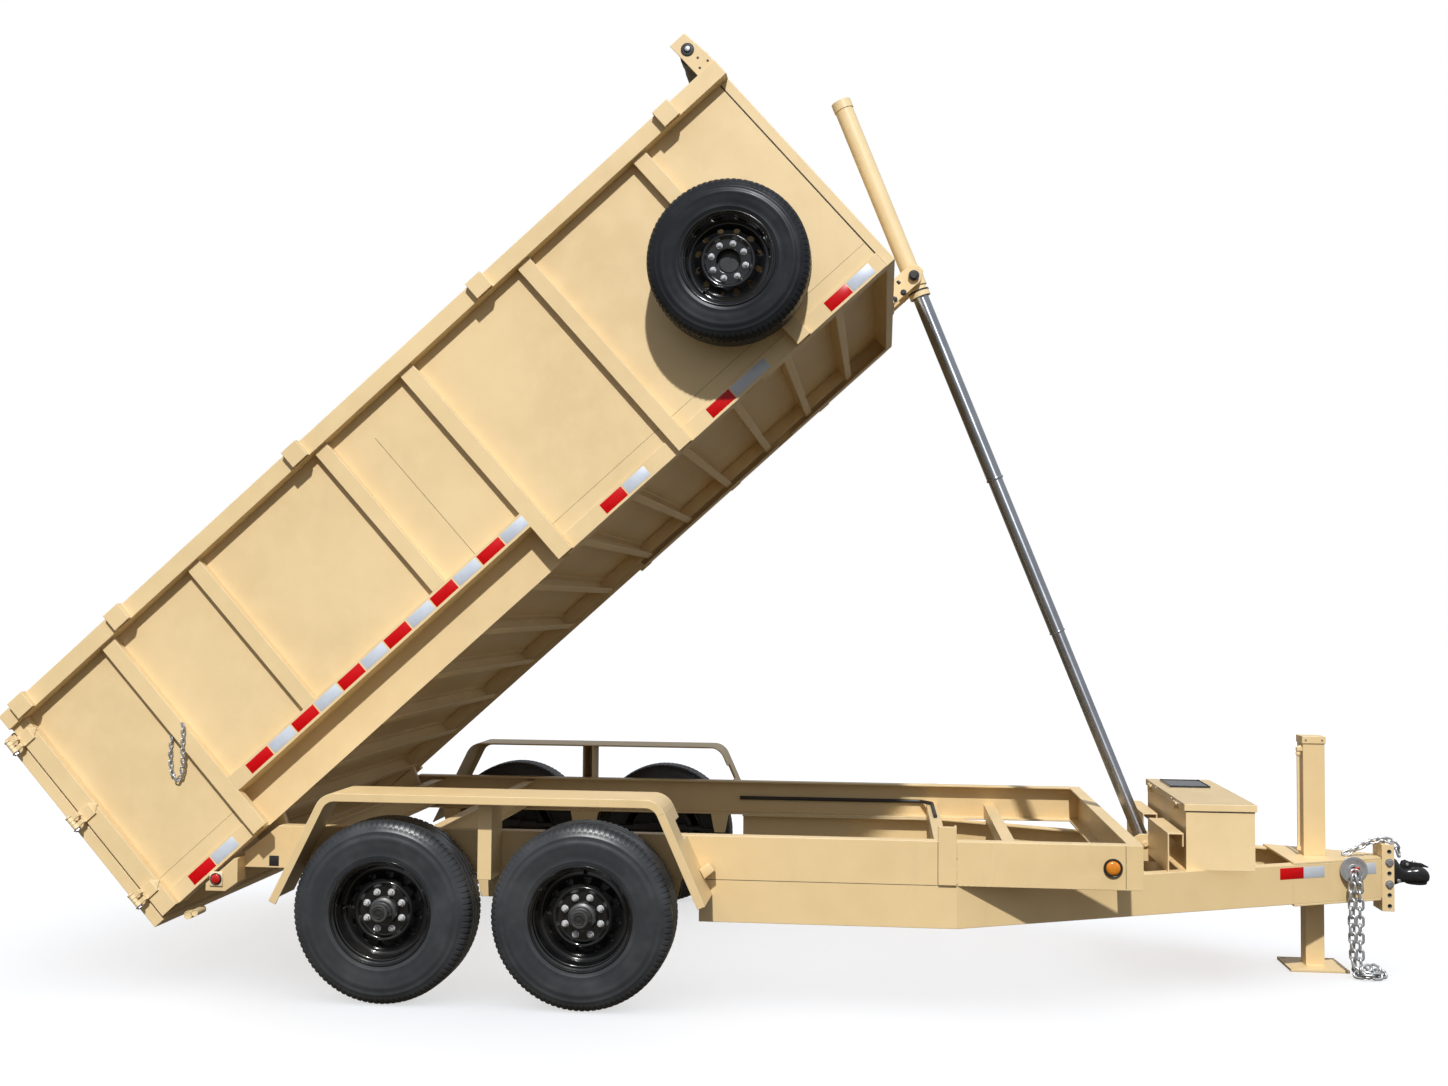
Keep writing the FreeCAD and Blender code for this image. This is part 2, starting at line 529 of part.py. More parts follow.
mount = mount.cut(box(3765, 3837, -POST_OUT, -SHEET_OUT + 1, 0, TOP_LO)).removeSplitter()
put("spare_mount", bed(mount))

# ----------------------------------------------------------------- trunnion bracket and hoist
tb_parts = []
for s in (-1, 1):
    tb_parts.append(prism_y([(4320, 0), (4500, 0), (4545, 30), (4545, 66), (4515, 96), (4320, 96)], s * 78, s * 92))
tb_parts.append(box(4320, 4328, -150, 150, 0, 200))
trb = fuse(tb_parts)
trb = trb.cut(cyl_y(TRUN_U, TRUN_V, 19.06, -120, 120))
put("trunnion_bracket", bed(trb))

TX, TZ = bed_point(TRUN_U, TRUN_V)
hx, hz = PIN_X - TX, PIN_Z - TZ
LEN = math.hypot(hx, hz)
D = V(hx / LEN, 0, hz / LEN)            # down the hoist, trunnion to pin
T0 = V(TX, 0, TZ)


def along(d):
    return T0 + D * d


def tube(d0, d1, r, ri=0.0):
    s = Part.makeCylinder(r, d1 - d0, along(d0), D)
    if ri > 0:
        s = s.cut(Part.makeCylinder(ri, d1 - d0 + 2, along(d0) - D, D))
    return s


# stages: distance of each lower end from the trunnion, raised
END = (1085.0, 1895.0, LEN)
LOWERED = 187.0                         # trunnion to pin with the bed down
STROKE = (LEN - LOWERED)
barrel = fuse([tube(-960, 92, BARREL_R, BARREL_IR), tube(-975, -958, BARREL_R), tube(-985, -940, BARREL_R + 4, BARREL_R - 0.5),
               tube(60, 96, BARREL_R + 6, BARREL_IR),
               tube(-40, 40, BARREL_R + 8, BARREL_R - 0.5),
               cyl_y(TX, TZ, 19.0, -108, -BARREL_IR - 1), cyl_y(TX, TZ, 19.0, BARREL_IR + 1, 108)])
barrel = barrel.cut(tube(-958, 100, BARREL_IR))
put("hoist_barrel", barrel)
S1, S2 = 970.0, 796.0
S3 = STROKE - S1 - S2
e3 = LEN - 34.0                        # where the last stage ends in its eye
st1 = tube(20, 1085, STAGE_R[0], STAGE_IR[0])
st2 = tube(960, 1895, STAGE_R[1], STAGE_IR[1])
st3 = tube(1856, e3, STAGE_R[2])
# eye: its hole is a slot that runs on towards the end, so that the pin stays clear all the way
EYE_R, SLOT = 34.0, 27.0
eye = cyl_y(PIN_X, PIN_Z, EYE_R, -44, 44)
tip = V(PIN_X, 0, PIN_Z) + D * SLOT
eye = eye.fuse([Part.makeCylinder(EYE_R, 88, V(tip.x, -44, tip.z), V(0, 1, 0)), tube(e3 - 30, LEN - 8, 30.0)])
nx, nz = -D.z, D.x
q = [(PIN_X + nx * EYE_R, PIN_Z + nz * EYE_R), (tip.x + nx * EYE_R, tip.z + nz * EYE_R),
     (tip.x - nx * EYE_R, tip.z - nz * EYE_R), (PIN_X - nx * EYE_R, PIN_Z - nz * EYE_R)]
eye = eye.fuse(prism_y(q, -44, 44))
hr = PINR + 12.5
q = [(PIN_X + nx * hr, PIN_Z + nz * hr), (tip.x + nx * hr, tip.z + nz * hr),
     (tip.x - nx * hr, tip.z - nz * hr), (PIN_X - nx * hr, PIN_Z - nz * hr)]
slot = cyl_y(PIN_X, PIN_Z, hr, -60, 60).fuse([Part.makeCylinder(hr, 120, V(tip.x, -60, tip.z), V(0, 1, 0)), prism_y(q, -60, 60)])
st3 = fuse([st3, eye]).cut(slot)
put("hoist_stage_1", st1)
put("hoist_stage_2", st2)
put("hoist_stage_3", st3)
print("hoist length raised", round(LEN, 1), "trunnion", round(TX, 1), round(TZ, 1), "pivot", round(PIV_X, 1), round(PIV_Z, 1))

# ----------------------------------------------------------------- rear doors
HINGE_U, HINGE_Y = -30.0, -1155.0
HINGE_V = (127.0, 572.0, 1016.0)
straps = []
for v in HINGE_V:
    st = fuse([box(8, 70, -POST_OUT - 10, -POST_OUT, v - 28, v + 28),
               box(4, 14, HINGE_Y - 4, -POST_OUT - 6, v - 28, v - 9), box(4, 14, HINGE_Y - 4, -POST_OUT - 6, v + 9, v + 28),
               box(HINGE_U, 8, HINGE_Y - 4, HINGE_Y + 4, v - 28, v - 9), box(HINGE_U, 8, HINGE_Y - 4, HINGE_Y + 4, v + 9, v + 28),
               box(4, 14, -POST_OUT - 10, -POST_OUT - 4, v - 28, v + 28),
               cyl((HINGE_U, HINGE_Y, v - 30), (0, 0, 1), 8.0, 60)])
    st = st.fuse([cyl((HINGE_U, HINGE_Y, v - 28), (0, 0, 1), 13.0, 19), cyl((HINGE_U, HINGE_Y, v + 9), (0, 0, 1), 13.0, 19)])
    straps.append(st.removeSplitter())
put("rear_frame", bed(fuse(REAR + straps + [mirror(s) for s in straps])))


def door():
    u0, u1 = -58.0, -6.0
    y0, y1 = -1113.0, -6.0
    v0, v1 = -12.0, 1078.0
    parts = [box(u0, u1, y0, y0 + 50, v0, v1), box(u0, u1, y1 - 50, y1, v0, v1),
             box(u0, u1, y0, y1, v0, v0 + 50), box(u0, u1, y0, y1, v1 - 50, v1),
             box(u0, u1, y0 + 50, y1 - 50, 500, 550),
             box(u1 - 6, u1 - 2, y0 + 40, y1 - 40, v0 + 40, v1 - 40)]
    d = fuse(parts)
    for v in HINGE_V:
        arm = fuse([box(HINGE_U - 6, HINGE_U + 6, HINGE_Y + 8.2, y0 + 2, v - 8, v + 8),
                    cyl((HINGE_U, HINGE_Y, v - 8), (0, 0, 1), 13.0, 16)])
        d = d.fuse(arm)
    for v in HINGE_V:
        d = d.cut(cyl((HINGE_U, HINGE_Y, v - 10), (0, 0, 1), 8.05, 20))
    return d.removeSplitter()


d_r = door()
put("rear_door_right", bed(d_r))
put("rear_door_left", bed(mirror(d_r)))
bars = fuse([cyl((-76, -60, 10), (0, 0, 1), 13, 1040), box(-64, -58, -80, -40, 60, 90), box(-64, -58, -80, -40, 960, 990),
             box(-90, -63, -74, -46, 60, 90), box(-90, -63, -74, -46, 960, 990)])
put("door_lock_bar", bed(bars))

# ----------------------------------------------------------------- wheels
WHEELS = (("rear_right", 0, -1), ("front_right", 1, -1), ("rear_left", 0, 1), ("front_left", 1, 1))
for name, i, s in WHEELS:
    x = AXLE_X[i]
    w = TYRE_W
    prof = [(RIM_R, 14), (RIM_R + 14, 6), (RIM_R + 60, 0), (RIM_R + 110, 0), (TYRE_R - 20, 9), (TYRE_R - 4, 26), (TYRE_R, 44),
            (TYRE_R, w - 44), (TYRE_R - 4, w - 26), (TYRE_R - 20, w - 9), (RIM_R + 110, w), (RIM_R + 60, w), (RIM_R + 14, w - 6), (RIM_R, w - 14)]
    t = revolve_y(prof, x, -TYRE_OUT, TYRE_R)
    put("tyre_" + name, t if s < 0 else mirror(t))
    # rim barrel, dished disc and hub, offsets from the outer sidewall
    barrel_p = [(RIM_LIP_R, 2.5), (RIM_LIP_R, 6.2), (RIM_R, 13.9), (RIM_R, w - 13.9), (RIM_LIP_R, w - 6.2), (RIM_LIP_R, w - 2.5), (212, w - 2.5),
                (RIM_R - 8, w - 14), (RIM_R - 8, 14), (212, 2.5)]
    rim = revolve_y(barrel_p, x, -TYRE_OUT, TYRE_R)
    disc = revolve_y([(60, 72), (100, 72), (116, 58), (126, 58), (166, 94), (RIM_R - 8, 112), (RIM_R - 8, 120), (163, 103), (124, 68), (118, 68), (103, 80), (60, 80)], x, -TYRE_OUT, TYRE_R)
    hub = revolve_y([(24.5, 80), (24.5, 190), (70, 190), (95, 175), (95, 80.0), (60, 80), (60, 40), (46, 34), (46, -2), (40, -8), (0.0, -8), (0.0, 50), (24.5, 50)],
                    x, -TYRE_OUT, TYRE_R)
    wheel = fuse([rim, disc, hub])
    holes = []
    for k in range(12):
        a = 2 * math.pi * (k + 0.5) / 12
        holes.append(cyl_y(x + 144 * math.cos(a), TYRE_R + 144 * math.sin(a), 15.5, -TYRE_OUT + 50, -TYRE_OUT + 140))
    wheel = wheel.cut(holes)
    studs = []
    for k in range(STUDS):
        a = 2 * math.pi * k / STUDS
        studs.append(cyl_y(x + STUD_PCD / 2 * math.cos(a), TYRE_R + STUD_PCD / 2 * math.sin(a), 12.0, -TYRE_OUT + 52, -TYRE_OUT + 72))
    wheel = wheel.fuse(studs).removeSplitter()
    put("wheel_" + name, wheel if s < 0 else mirror(wheel))

# ----------------------------------------------------------------- safety chains and hoses
ch = []
for k, (x, y) in enumerate(((3455.0, -197.0), (3500.0, -197.0))):
    ch.append(cyl((x, y, 0), (0, 0, 1), 14.0, 470))
put("safety_chains", ch)
put("chain_holder", fuse([cyl_y(3478, 492, 62.0, -182, -174),
                          prism_z([(3450, -178), (3506, -178), (3506, beam_inner_y(3506)), (3450, beam_inner_y(3450))], 484, 500)]))
line = [(482, 1007, 614.1), (1500, 1007, 614.1), (1560, 930, 614.1), (1562, 430, 614.1)]
run = []
for a, b in zip(line, line[1:]):
    ab = [q - p for p, q in zip(a, b)]
    run.append(cyl(a, ab, 9.9, math.sqrt(sum(c * c for c in ab))))
for c in line[1:3]:
    run.append(Part.makeSphere(9.9, V(*c)))
put("hydraulic_line", fuse(run))
put("jack_hose", cyl((3270, -30, 560), (0, 0, 1), 7.0, 480).fuse(box(3262, 3288, -40, -20, 1030, 1045)).removeSplitter())

# ----------------------------------------------------------------- write the pieces
shift = V(-X_ORIGIN, -Y_ORIGIN, 0)
lo = [1e9] * 3
hi = [-1e9] * 3
vol = 0.0
for name, solids in OUT.items():
    s = solids[0].copy() if len(solids) == 1 else Part.makeCompound([q.copy() for q in solids])
    s.translate(shift)
    bb = s.BoundBox
    lo = [min(lo[0], bb.XMin), min(lo[1], bb.YMin), min(lo[2], bb.ZMin)]
    hi = [max(hi[0], bb.XMax), max(hi[1], bb.YMax), max(hi[2], bb.ZMax)]
    vol += s.Volume
    if not s.isValid():
        print("INVALID", name)
    s.exportStep("parts/%s.step" % name)
print(len(OUT), "nodes, volume", round(vol / 1e9, 4), "m3")
print("box", [round(v, 1) for v in lo], [round(v, 1) for v in hi])
print("middle", [round((p + q) / 2, 1) for p, q in zip(lo, hi)])
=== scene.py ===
import bpy
import bmesh
import json
import math
import random
from mathutils import Matrix, Vector

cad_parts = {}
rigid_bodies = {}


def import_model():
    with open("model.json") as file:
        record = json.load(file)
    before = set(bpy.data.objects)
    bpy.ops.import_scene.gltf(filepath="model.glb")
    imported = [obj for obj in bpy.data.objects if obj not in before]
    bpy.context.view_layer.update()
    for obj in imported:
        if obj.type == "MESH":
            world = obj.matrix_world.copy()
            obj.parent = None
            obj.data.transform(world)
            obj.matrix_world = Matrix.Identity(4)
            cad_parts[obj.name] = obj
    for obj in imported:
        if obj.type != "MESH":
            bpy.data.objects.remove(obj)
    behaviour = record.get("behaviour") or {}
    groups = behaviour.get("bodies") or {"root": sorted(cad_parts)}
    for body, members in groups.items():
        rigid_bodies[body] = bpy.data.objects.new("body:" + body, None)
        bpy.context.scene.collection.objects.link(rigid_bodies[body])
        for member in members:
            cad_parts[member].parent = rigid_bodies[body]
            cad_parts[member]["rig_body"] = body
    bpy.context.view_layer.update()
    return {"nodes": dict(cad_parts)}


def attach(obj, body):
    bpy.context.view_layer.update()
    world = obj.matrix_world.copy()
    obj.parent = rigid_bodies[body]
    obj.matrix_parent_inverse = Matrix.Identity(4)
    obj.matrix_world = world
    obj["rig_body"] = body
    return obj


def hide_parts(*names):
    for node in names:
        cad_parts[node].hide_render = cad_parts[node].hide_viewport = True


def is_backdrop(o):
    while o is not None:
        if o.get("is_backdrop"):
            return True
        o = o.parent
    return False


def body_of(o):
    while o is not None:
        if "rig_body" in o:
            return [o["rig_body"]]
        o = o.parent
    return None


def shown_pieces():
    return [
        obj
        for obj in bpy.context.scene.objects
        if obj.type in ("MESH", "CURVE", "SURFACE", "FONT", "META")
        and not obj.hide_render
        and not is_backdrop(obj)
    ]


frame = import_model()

NODES = frame["nodes"]
rng = random.Random(7)

# ------------------------------------------------------------------ frames of reference
# The part is laid out in millimetres about a working origin; W turns that into the row frame,
# and MB does the same for the raised bed's own axes (u forward, y, v up).
X0, Y0 = 611.0, -38.0
DUMP = math.radians(41.93)
BED_X, BED_Z = -1880.4, 312.6
MW = Matrix(((0.001, 0, 0, -X0 / 1000), (0, 0.001, 0, -Y0 / 1000), (0, 0, 0.001, 0), (0, 0, 0, 1)))
c_, s_ = math.cos(DUMP), math.sin(DUMP)
MB = MW @ Matrix(((c_, 0, -s_, BED_X), (0, 1, 0, 0), (s_, 0, c_, BED_Z), (0, 0, 0, 1)))
# the hoist's own axes: d down the hoist from the trunnion, y, and n across
TX, TZ = BED_X + 4492.0 * c_ - 40.0 * s_, BED_Z + 4492.0 * s_ + 40.0 * c_
PX, PZ = 2547.3, 573.5
HL = math.hypot(PX - TX, PZ - TZ)
DX, DZ = (PX - TX) / HL, (PZ - TZ) / HL
MH = MW @ Matrix(((-DZ, 0, DX, TX), (0, 1, 0, 0), (DX, 0, DZ, TZ), (0, 0, 0, 1)))   # z runs down the hoist


def W(x, y, z):
    return Vector(((x - X0) / 1000, (y - Y0) / 1000, z / 1000))


# ------------------------------------------------------------------ camera
cam_data = bpy.data.cameras.new("camera")
cam_data.sensor_width = 36.0
cam_data.lens = 36.805
cam_data.clip_end = 200.0
cam = bpy.data.objects.new("camera", cam_data)
bpy.context.scene.collection.objects.link(cam)
F = Vector((-0.10659863, 0.99344619, 0.04124811))
R = Vector((0.99429852, 0.1063947, 0.00711427))
U = R.cross(F)
R, U, F = R.normalized(), U.normalized(), F.normalized()
cam.matrix_world = Matrix(((R.x, U.x, -F.x, 0.67382), (R.y, U.y, -F.y, -7.38964), (R.z, U.z, -F.z, 1.71266), (0, 0, 0, 1)))
bpy.context.scene.camera = cam
bpy.context.scene.view_settings.view_transform = "Standard"
bpy.context.scene.view_settings.look = "None"


# ------------------------------------------------------------------ node helpers
class Tree:
    def __init__(self, tree):
        self.t = tree
        self.t.nodes.clear()

    def n(self, kind, **props):
        node = self.t.nodes.new(kind)
        ins = props.pop("ins", {})
        for k, v in props.items():
            setattr(node, k, v)
        for k, v in ins.items():
            if isinstance(v, bpy.types.NodeSocket):
                self.t.links.new(v, node.inputs[k])
            else:
                node.inputs[k].default_value = v
        return node

    def noise(self, coord, scale, detail=4.0, rough=0.55, dist=0.0):
        return self.n("ShaderNodeTexNoise", ins={"Vector": coord, "Scale": scale, "Detail": detail, "Roughness": rough, "Distortion": dist}).outputs["Fac"]

    def ramp(self, fac, stops, interp="LINEAR"):
        r = self.n("ShaderNodeValToRGB", ins={"Fac": fac})
        r.color_ramp.interpolation = interp
        el = r.color_ramp.elements
        while len(el) < len(stops):
            el.new(0.5)
        for e, (p, col) in zip(el, stops):
            e.position = p
            e.color = (col, col, col, 1) if isinstance(col, (int, float)) else (*col, 1)
        return r.outputs["Color"]

    def range(self, v, a, b, c, d):
        return self.n("ShaderNodeMapRange", ins={0: v, 1: a, 2: b, 3: c, 4: d}).outputs[0]

    def math(self, op, a, b=0.5, clamp=False):
        m = self.n("ShaderNodeMath", operation=op, use_clamp=clamp)
        for i, v in enumerate((a, b)):
            if isinstance(v, bpy.types.NodeSocket):
                self.t.links.new(v, m.inputs[i])
            else:
                m.inputs[i].default_value = v
        return m.outputs[0]

    def mix(self, fac, a, b, mode="MIX"):
        m = self.n("ShaderNodeMix", data_type="RGBA", blend_type=mode)
        for k, v in ((0, fac), (6, a), (7, b)):
            if isinstance(v, bpy.types.NodeSocket):
                self.t.links.new(v, m.inputs[k])
            else:
                m.inputs[k].default_value = v if not isinstance(v, tuple) else (*v[:3], 1)
        return m.outputs[2]


def material(name, build, **fixed):
    m = bpy.data.materials.new(name)
    m.use_nodes = True
    t = Tree(m.node_tree)
    out = t.n("ShaderNodeOutputMaterial")
    p = t.n("ShaderNodeBsdfPrincipled")
    for k, v in fixed.items():
        p.inputs[k.replace("_", " ")].default_value = v
    t.t.links.new(p.outputs[0], out.inputs[0])
    co = t.n("ShaderNodeTexCoord").outputs["Object"]
    for k, v in (build(t, co) or {}).items():
        t.t.links.new(v, p.inputs[k])
    return m


def bump(t, height, strength, dist, normal=None):
    ins = {"Height": height, "Strength": strength, "Distance": dist}
    if normal is not None:
        ins["Normal"] = normal
    return t.n("ShaderNodeBump", ins=ins).outputs[0]


# ------------------------------------------------------------------ materials
def tan(t, co, base=(0.745, 0.560, 0.300), dirt=0.5, wear_and_edge_highlight=1.0):
    big = t.noise(co, 1.3, 3.0)
    mid = t.noise(co, 9.0, 5.0, 0.6)
    fine = t.noise(co, 420.0, 2.0)
    streak = t.n("ShaderNodeMapping", ins={"Vector": co, "Scale": (3.0, 3.0, 0.6)}).outputs[0]
    run = t.noise(streak, 4.0, 6.0, 0.65, 0.4)
    bev = t.n("ShaderNodeBevel", samples=4, ins={"Radius": 0.0045}).outputs[0]
    geo = t.n("ShaderNodeNewGeometry").outputs["Normal"]
    dot = t.n("ShaderNodeVectorMath", operation="DOT_PRODUCT", ins={0: bev, 1: geo}).outputs["Value"]
    edge_wear_and_highlight_mask = t.range(dot, 0.999, 0.90, 0.0, wear_and_edge_highlight)
    dark = tuple(c * k for c, k in zip(base, (0.90, 0.89, 0.87)))
    light = tuple(min(1.0, c * k) for c, k in zip(base, (1.04, 1.045, 1.06)))
    col = t.mix(t.range(big, 0.35, 0.65, 0.0, 1.0), dark, base)
    col = t.mix(t.range(mid, 0.4, 0.75, 0.0, 0.5), col, light)
    # light dust and run marks
    col = t.mix(t.range(run, 0.58, 0.80, 0.0, 0.30 * dirt), col, (0.50, 0.38, 0.24))
    # lighter edges: partly paint worn off at the edges, partly a painted highlight along them
    col = t.mix(t.math("MULTIPLY", edge_wear_and_highlight_mask, t.range(mid, 0.3, 0.6, 0.25, 0.8)), col, (0.93, 0.78, 0.53))
    # a few specks of bare, rusted metal on the edges
    speck = t.math("MULTIPLY", t.range(t.noise(co, 55.0, 3.0, 0.7), 0.70, 0.74, 0.0, 1.0), edge_wear_and_highlight_mask)
    col = t.mix(t.math("MULTIPLY", speck, 0.8 * dirt), col, (0.16, 0.07, 0.03))
    rough = t.range(t.math("ADD", mid, t.math("MULTIPLY", run, 0.6)), 0.5, 1.1, 0.30, 0.47)
    if wear_and_edge_highlight == 0:
        return {"Base Color": col, "Roughness": rough}
    nrm = bump(t, fine, 0.07, 0.0006, bev)
    nrm = bump(t, big, 0.05, 0.004, nrm)
    return {"Base Color": col, "Roughness": rough, "Normal": nrm}


def black_gloss(t, co):
    mid = t.noise(co, 14.0, 4.0)
    dust = t.range(t.noise(co, 5.0, 5.0, 0.6), 0.52, 0.75, 0.0, 0.30)
    col = t.mix(dust, (0.0055, 0.0056, 0.006), (0.055, 0.05, 0.042))
    bev = t.n("ShaderNodeBevel", samples=4, ins={"Radius": 0.002}).outputs[0]
    return {"Base Color": col, "Roughness": t.range(mid, 0.3, 0.7, 0.10, 0.24), "Normal": bump(t, t.noise(co, 260.0, 2.0), 0.04, 0.0005, bev)}


def black_satin(t, co):
    mid = t.noise(co, 12.0, 5.0)
    dust = t.range(t.noise(co, 4.0, 6.0, 0.65), 0.48, 0.72, 0.0, 0.4)
    col = t.mix(dust, (0.016, 0.016, 0.017), (0.11, 0.095, 0.075))
    bev = t.n("ShaderNodeBevel", samples=4, ins={"Radius": 0.0025}).outputs[0]
    return {"Base Color": col, "Roughness": t.range(mid, 0.3, 0.7, 0.32, 0.52), "Normal": bump(t, t.noise(co, 130.0, 4.0), 0.16, 0.0008, bev)}


def cast_grey(t, co):
    mid = t.noise(co, 30.0, 5.0)
    col = t.mix(mid, (0.070, 0.071, 0.073), (0.13, 0.13, 0.13))
    return {"Base Color": col, "Roughness": t.range(mid, 0.3, 0.7, 0.35, 0.55), "Normal": bump(t, t.noise(co, 190.0, 3.0), 0.2, 0.0008)}


def rubber(t, co, k=1.0):
    mid = t.noise(co, 6.0, 5.0, 0.6)
    fine = t.noise(co, 180.0, 3.0, 0.6)
    dust = t.range(t.noise(co, 3.0, 6.0, 0.6), 0.45, 0.75, 0.0, 0.45)
    col = t.mix(dust, (0.030 * k, 0.033 * k, 0.038 * k), (0.056 * k, 0.057 * k, 0.058 * k))
    col = t.mix(t.range(mid, 0.45, 0.7, 0.0, 0.4), col, (0.058 * k, 0.063 * k, 0.071 * k))
    return {"Base Color": col, "Roughness": t.range(mid, 0.3, 0.7, 0.24, 0.44), "Normal": bump(t, fine, 0.10, 0.0006)}


def steel(t, co):
    # ground and polished bar with a thin film of oil
    mp = t.n("ShaderNodeMapping", ins={"Vector": co, "Rotation": (0.0, -math.atan2(DX, -DZ), 0.0), "Scale": (9.0, 9.0, 0.7)}).outputs[0]
    grain = t.noise(mp, 12.0, 3.0, 0.6)
    film = t.noise(co, 5.0, 5.0, 0.6)
    col = t.mix(t.range(film, 0.35, 0.7, 0.0, 1.0), (0.44, 0.46, 0.50), (0.54, 0.56, 0.60))
    return {"Base Color": col, "Roughness": t.range(t.math("ADD", film, t.math("MULTIPLY", grain, 0.2)), 0.3, 0.9, 0.24, 0.31),
            "Tangent": t.n("ShaderNodeCombineXYZ", ins={0: DX, 1: 0.0, 2: DZ}).outputs[0]}


def zinc(t, co):
    mid = t.noise(co, 45.0, 4.0)
    col = t.mix(mid, (0.44, 0.45, 0.46), (0.62, 0.63, 0.65))
    stain = t.range(t.noise(co, 11.0, 6.0, 0.7), 0.56, 0.72, 0.0, 0.55)
    col = t.mix(stain, col, (0.34, 0.31, 0.26))
    return {"Base Color": col, "Roughness": t.range(mid, 0.3, 0.7, 0.34, 0.50), "Normal": bump(t, t.noise(co, 300.0, 3.0), 0.1, 0.0005)}


def bolt_steel(t, co):
    mid = t.noise(co, 60.0, 4.0)
    return {"Base Color": t.mix(mid, (0.35, 0.35, 0.36), (0.62, 0.62, 0.64)), "Roughness": t.range(mid, 0.3, 0.7, 0.18, 0.34),
            "Normal": bump(t, t.noise(co, 400.0, 2.0), 0.08, 0.0004)}


def chrome_and_painted_glint(t, co):
    # chrome nuts whose bright base is partly diffuse and lit by the key light: a painted glint on top of the real
    # reflection
    mid = t.noise(co, 70.0, 3.0)
    return {"Base Color": t.mix(mid, (0.72, 0.73, 0.75), (0.86, 0.87, 0.89)), "Roughness": t.range(mid, 0.3, 0.7, 0.06, 0.16),
            "Normal": bump(t, t.noise(co, 300.0, 2.0), 0.03, 0.0003)}


def hose(t, co):
    w = t.n("ShaderNodeTexWave", wave_type="BANDS", bands_direction="DIAGONAL", ins={"Vector": co, "Scale": 180.0, "Distortion": 1.0}).outputs["Fac"]
    mid = t.noise(co, 20.0, 4.0)
    return {"Base Color": t.mix(mid, (0.012, 0.012, 0.012), (0.04, 0.038, 0.035)), "Roughness": t.range(mid, 0.3, 0.7, 0.38, 0.58),
            "Normal": bump(t, w, 0.2, 0.0005)}


def tape_red(t, co):
    h = t.n("ShaderNodeTexVoronoi", feature="F1", ins={"Vector": co, "Scale": 240.0}).outputs["Distance"]
    v = t.noise(co, 12.0, 3.0)
    return {"Base Color": t.mix(v, (0.46, 0.001, 0.003), (0.56, 0.002, 0.005)), "Roughness": t.range(v, 0.3, 0.7, 0.22, 0.36), "Normal": bump(t, h, 0.12, 0.0006)}


def tape_silver(t, co):
    h = t.n("ShaderNodeTexVoronoi", feature="F1", ins={"Vector": co, "Scale": 240.0}).outputs["Distance"]
    v = t.noise(co, 28.0, 3.0, 0.6)
    return {"Base Color": t.mix(v, (0.45, 0.49, 0.55), (0.57, 0.61, 0.67)), "Roughness": t.range(v, 0.3, 0.7, 0.40, 0.55), "Normal": bump(t, h, 0.15, 0.0006)}


def lens_red(t, co):
    r = t.n("ShaderNodeTexWave", wave_type="RINGS", rings_direction="X", ins={"Vector": co, "Scale": 60.0}).outputs["Fac"]
    v = t.noise(co, 40.0, 2.0)
    return {"Base Color": t.mix(v, (0.42, 0.004, 0.004), (0.62, 0.012, 0.010)), "Roughness": t.range(v, 0.3, 0.7, 0.06, 0.14), "Normal": bump(t, r, 0.1, 0.001)}


def lens_amber(t, co):
    r = t.n("ShaderNodeTexVoronoi", ins={"Vector": co, "Scale": 160.0}).outputs["Distance"]
    v = t.noise(co, 60.0, 2.0)
    return {"Base Color": t.mix(v, (0.46, 0.13, 0.006), (0.85, 0.30, 0.02)), "Roughness": t.range(v, 0.3, 0.7, 0.06, 0.16), "Normal": bump(t, r, 0.25, 0.001)}


def mesh_cloth(t, co):
    a = t.n("ShaderNodeTexWave", wave_type="BANDS", bands_direction="X", ins={"Vector": co, "Scale": 160.0}).outputs["Fac"]
    b = t.n("ShaderNodeTexWave", wave_type="BANDS", bands_direction="Z", ins={"Vector": co, "Scale": 160.0}).outputs["Fac"]
    h = t.math("ADD", a, b)
    v = t.noise(co, 20.0, 4.0)
    return {"Base Color": t.mix(v, (0.008, 0.008, 0.009), (0.028, 0.028, 0.030)), "Roughness": t.range(v, 0.3, 0.7, 0.55, 0.75), "Normal": bump(t, h, 0.5, 0.001)}


def solar(t, co):
    sep = t.n("ShaderNodeSeparateXYZ", ins={0: co})
    v = t.noise(co, 30.0, 3.0)
    fx = t.math("FRACT", t.math("MULTIPLY", sep.outputs[0], 15.4))
    fy = t.math("FRACT", t.math("MULTIPLY", sep.outputs[1], 14.8))
    gx = t.range(t.math("ABSOLUTE", t.math("SUBTRACT", fx, 0.5)), 0.465, 0.475, 0.0, 1.0)
    gy = t.range(t.math("ABSOLUTE", t.math("SUBTRACT", fy, 0.5)), 0.465, 0.475, 0.0, 1.0)
    g = t.math("MAXIMUM", gx, gy)
    col = t.mix(g, t.mix(v, (0.004, 0.005, 0.010), (0.007, 0.010, 0.018)), (0.030, 0.032, 0.036))
    return {"Base Color": col, "Roughness": t.range(v, 0.3, 0.7, 0.05, 0.12), "Normal": bump(t, g, 0.1, 0.0003)}


def plastic_and_painted_shade(t, co):
    v = t.noise(co, 40.0, 4.0)
    return {"Base Color": t.mix(v, (0.010, 0.010, 0.011), (0.030, 0.029, 0.028)), "Roughness": t.range(v, 0.3, 0.7, 0.30, 0.45), "Normal": bump(t, t.noise(co, 260.0, 2.0), 0.15, 0.0005)}


def caulk(t, co):
    v = t.noise(co, 90.0, 4.0)
    return {"Base Color": t.mix(v, (0.022, 0.015, 0.007), (0.045, 0.032, 0.016)), "Roughness": t.range(v, 0.3, 0.7, 0.6, 0.8), "Normal": bump(t, v, 0.4, 0.001)}


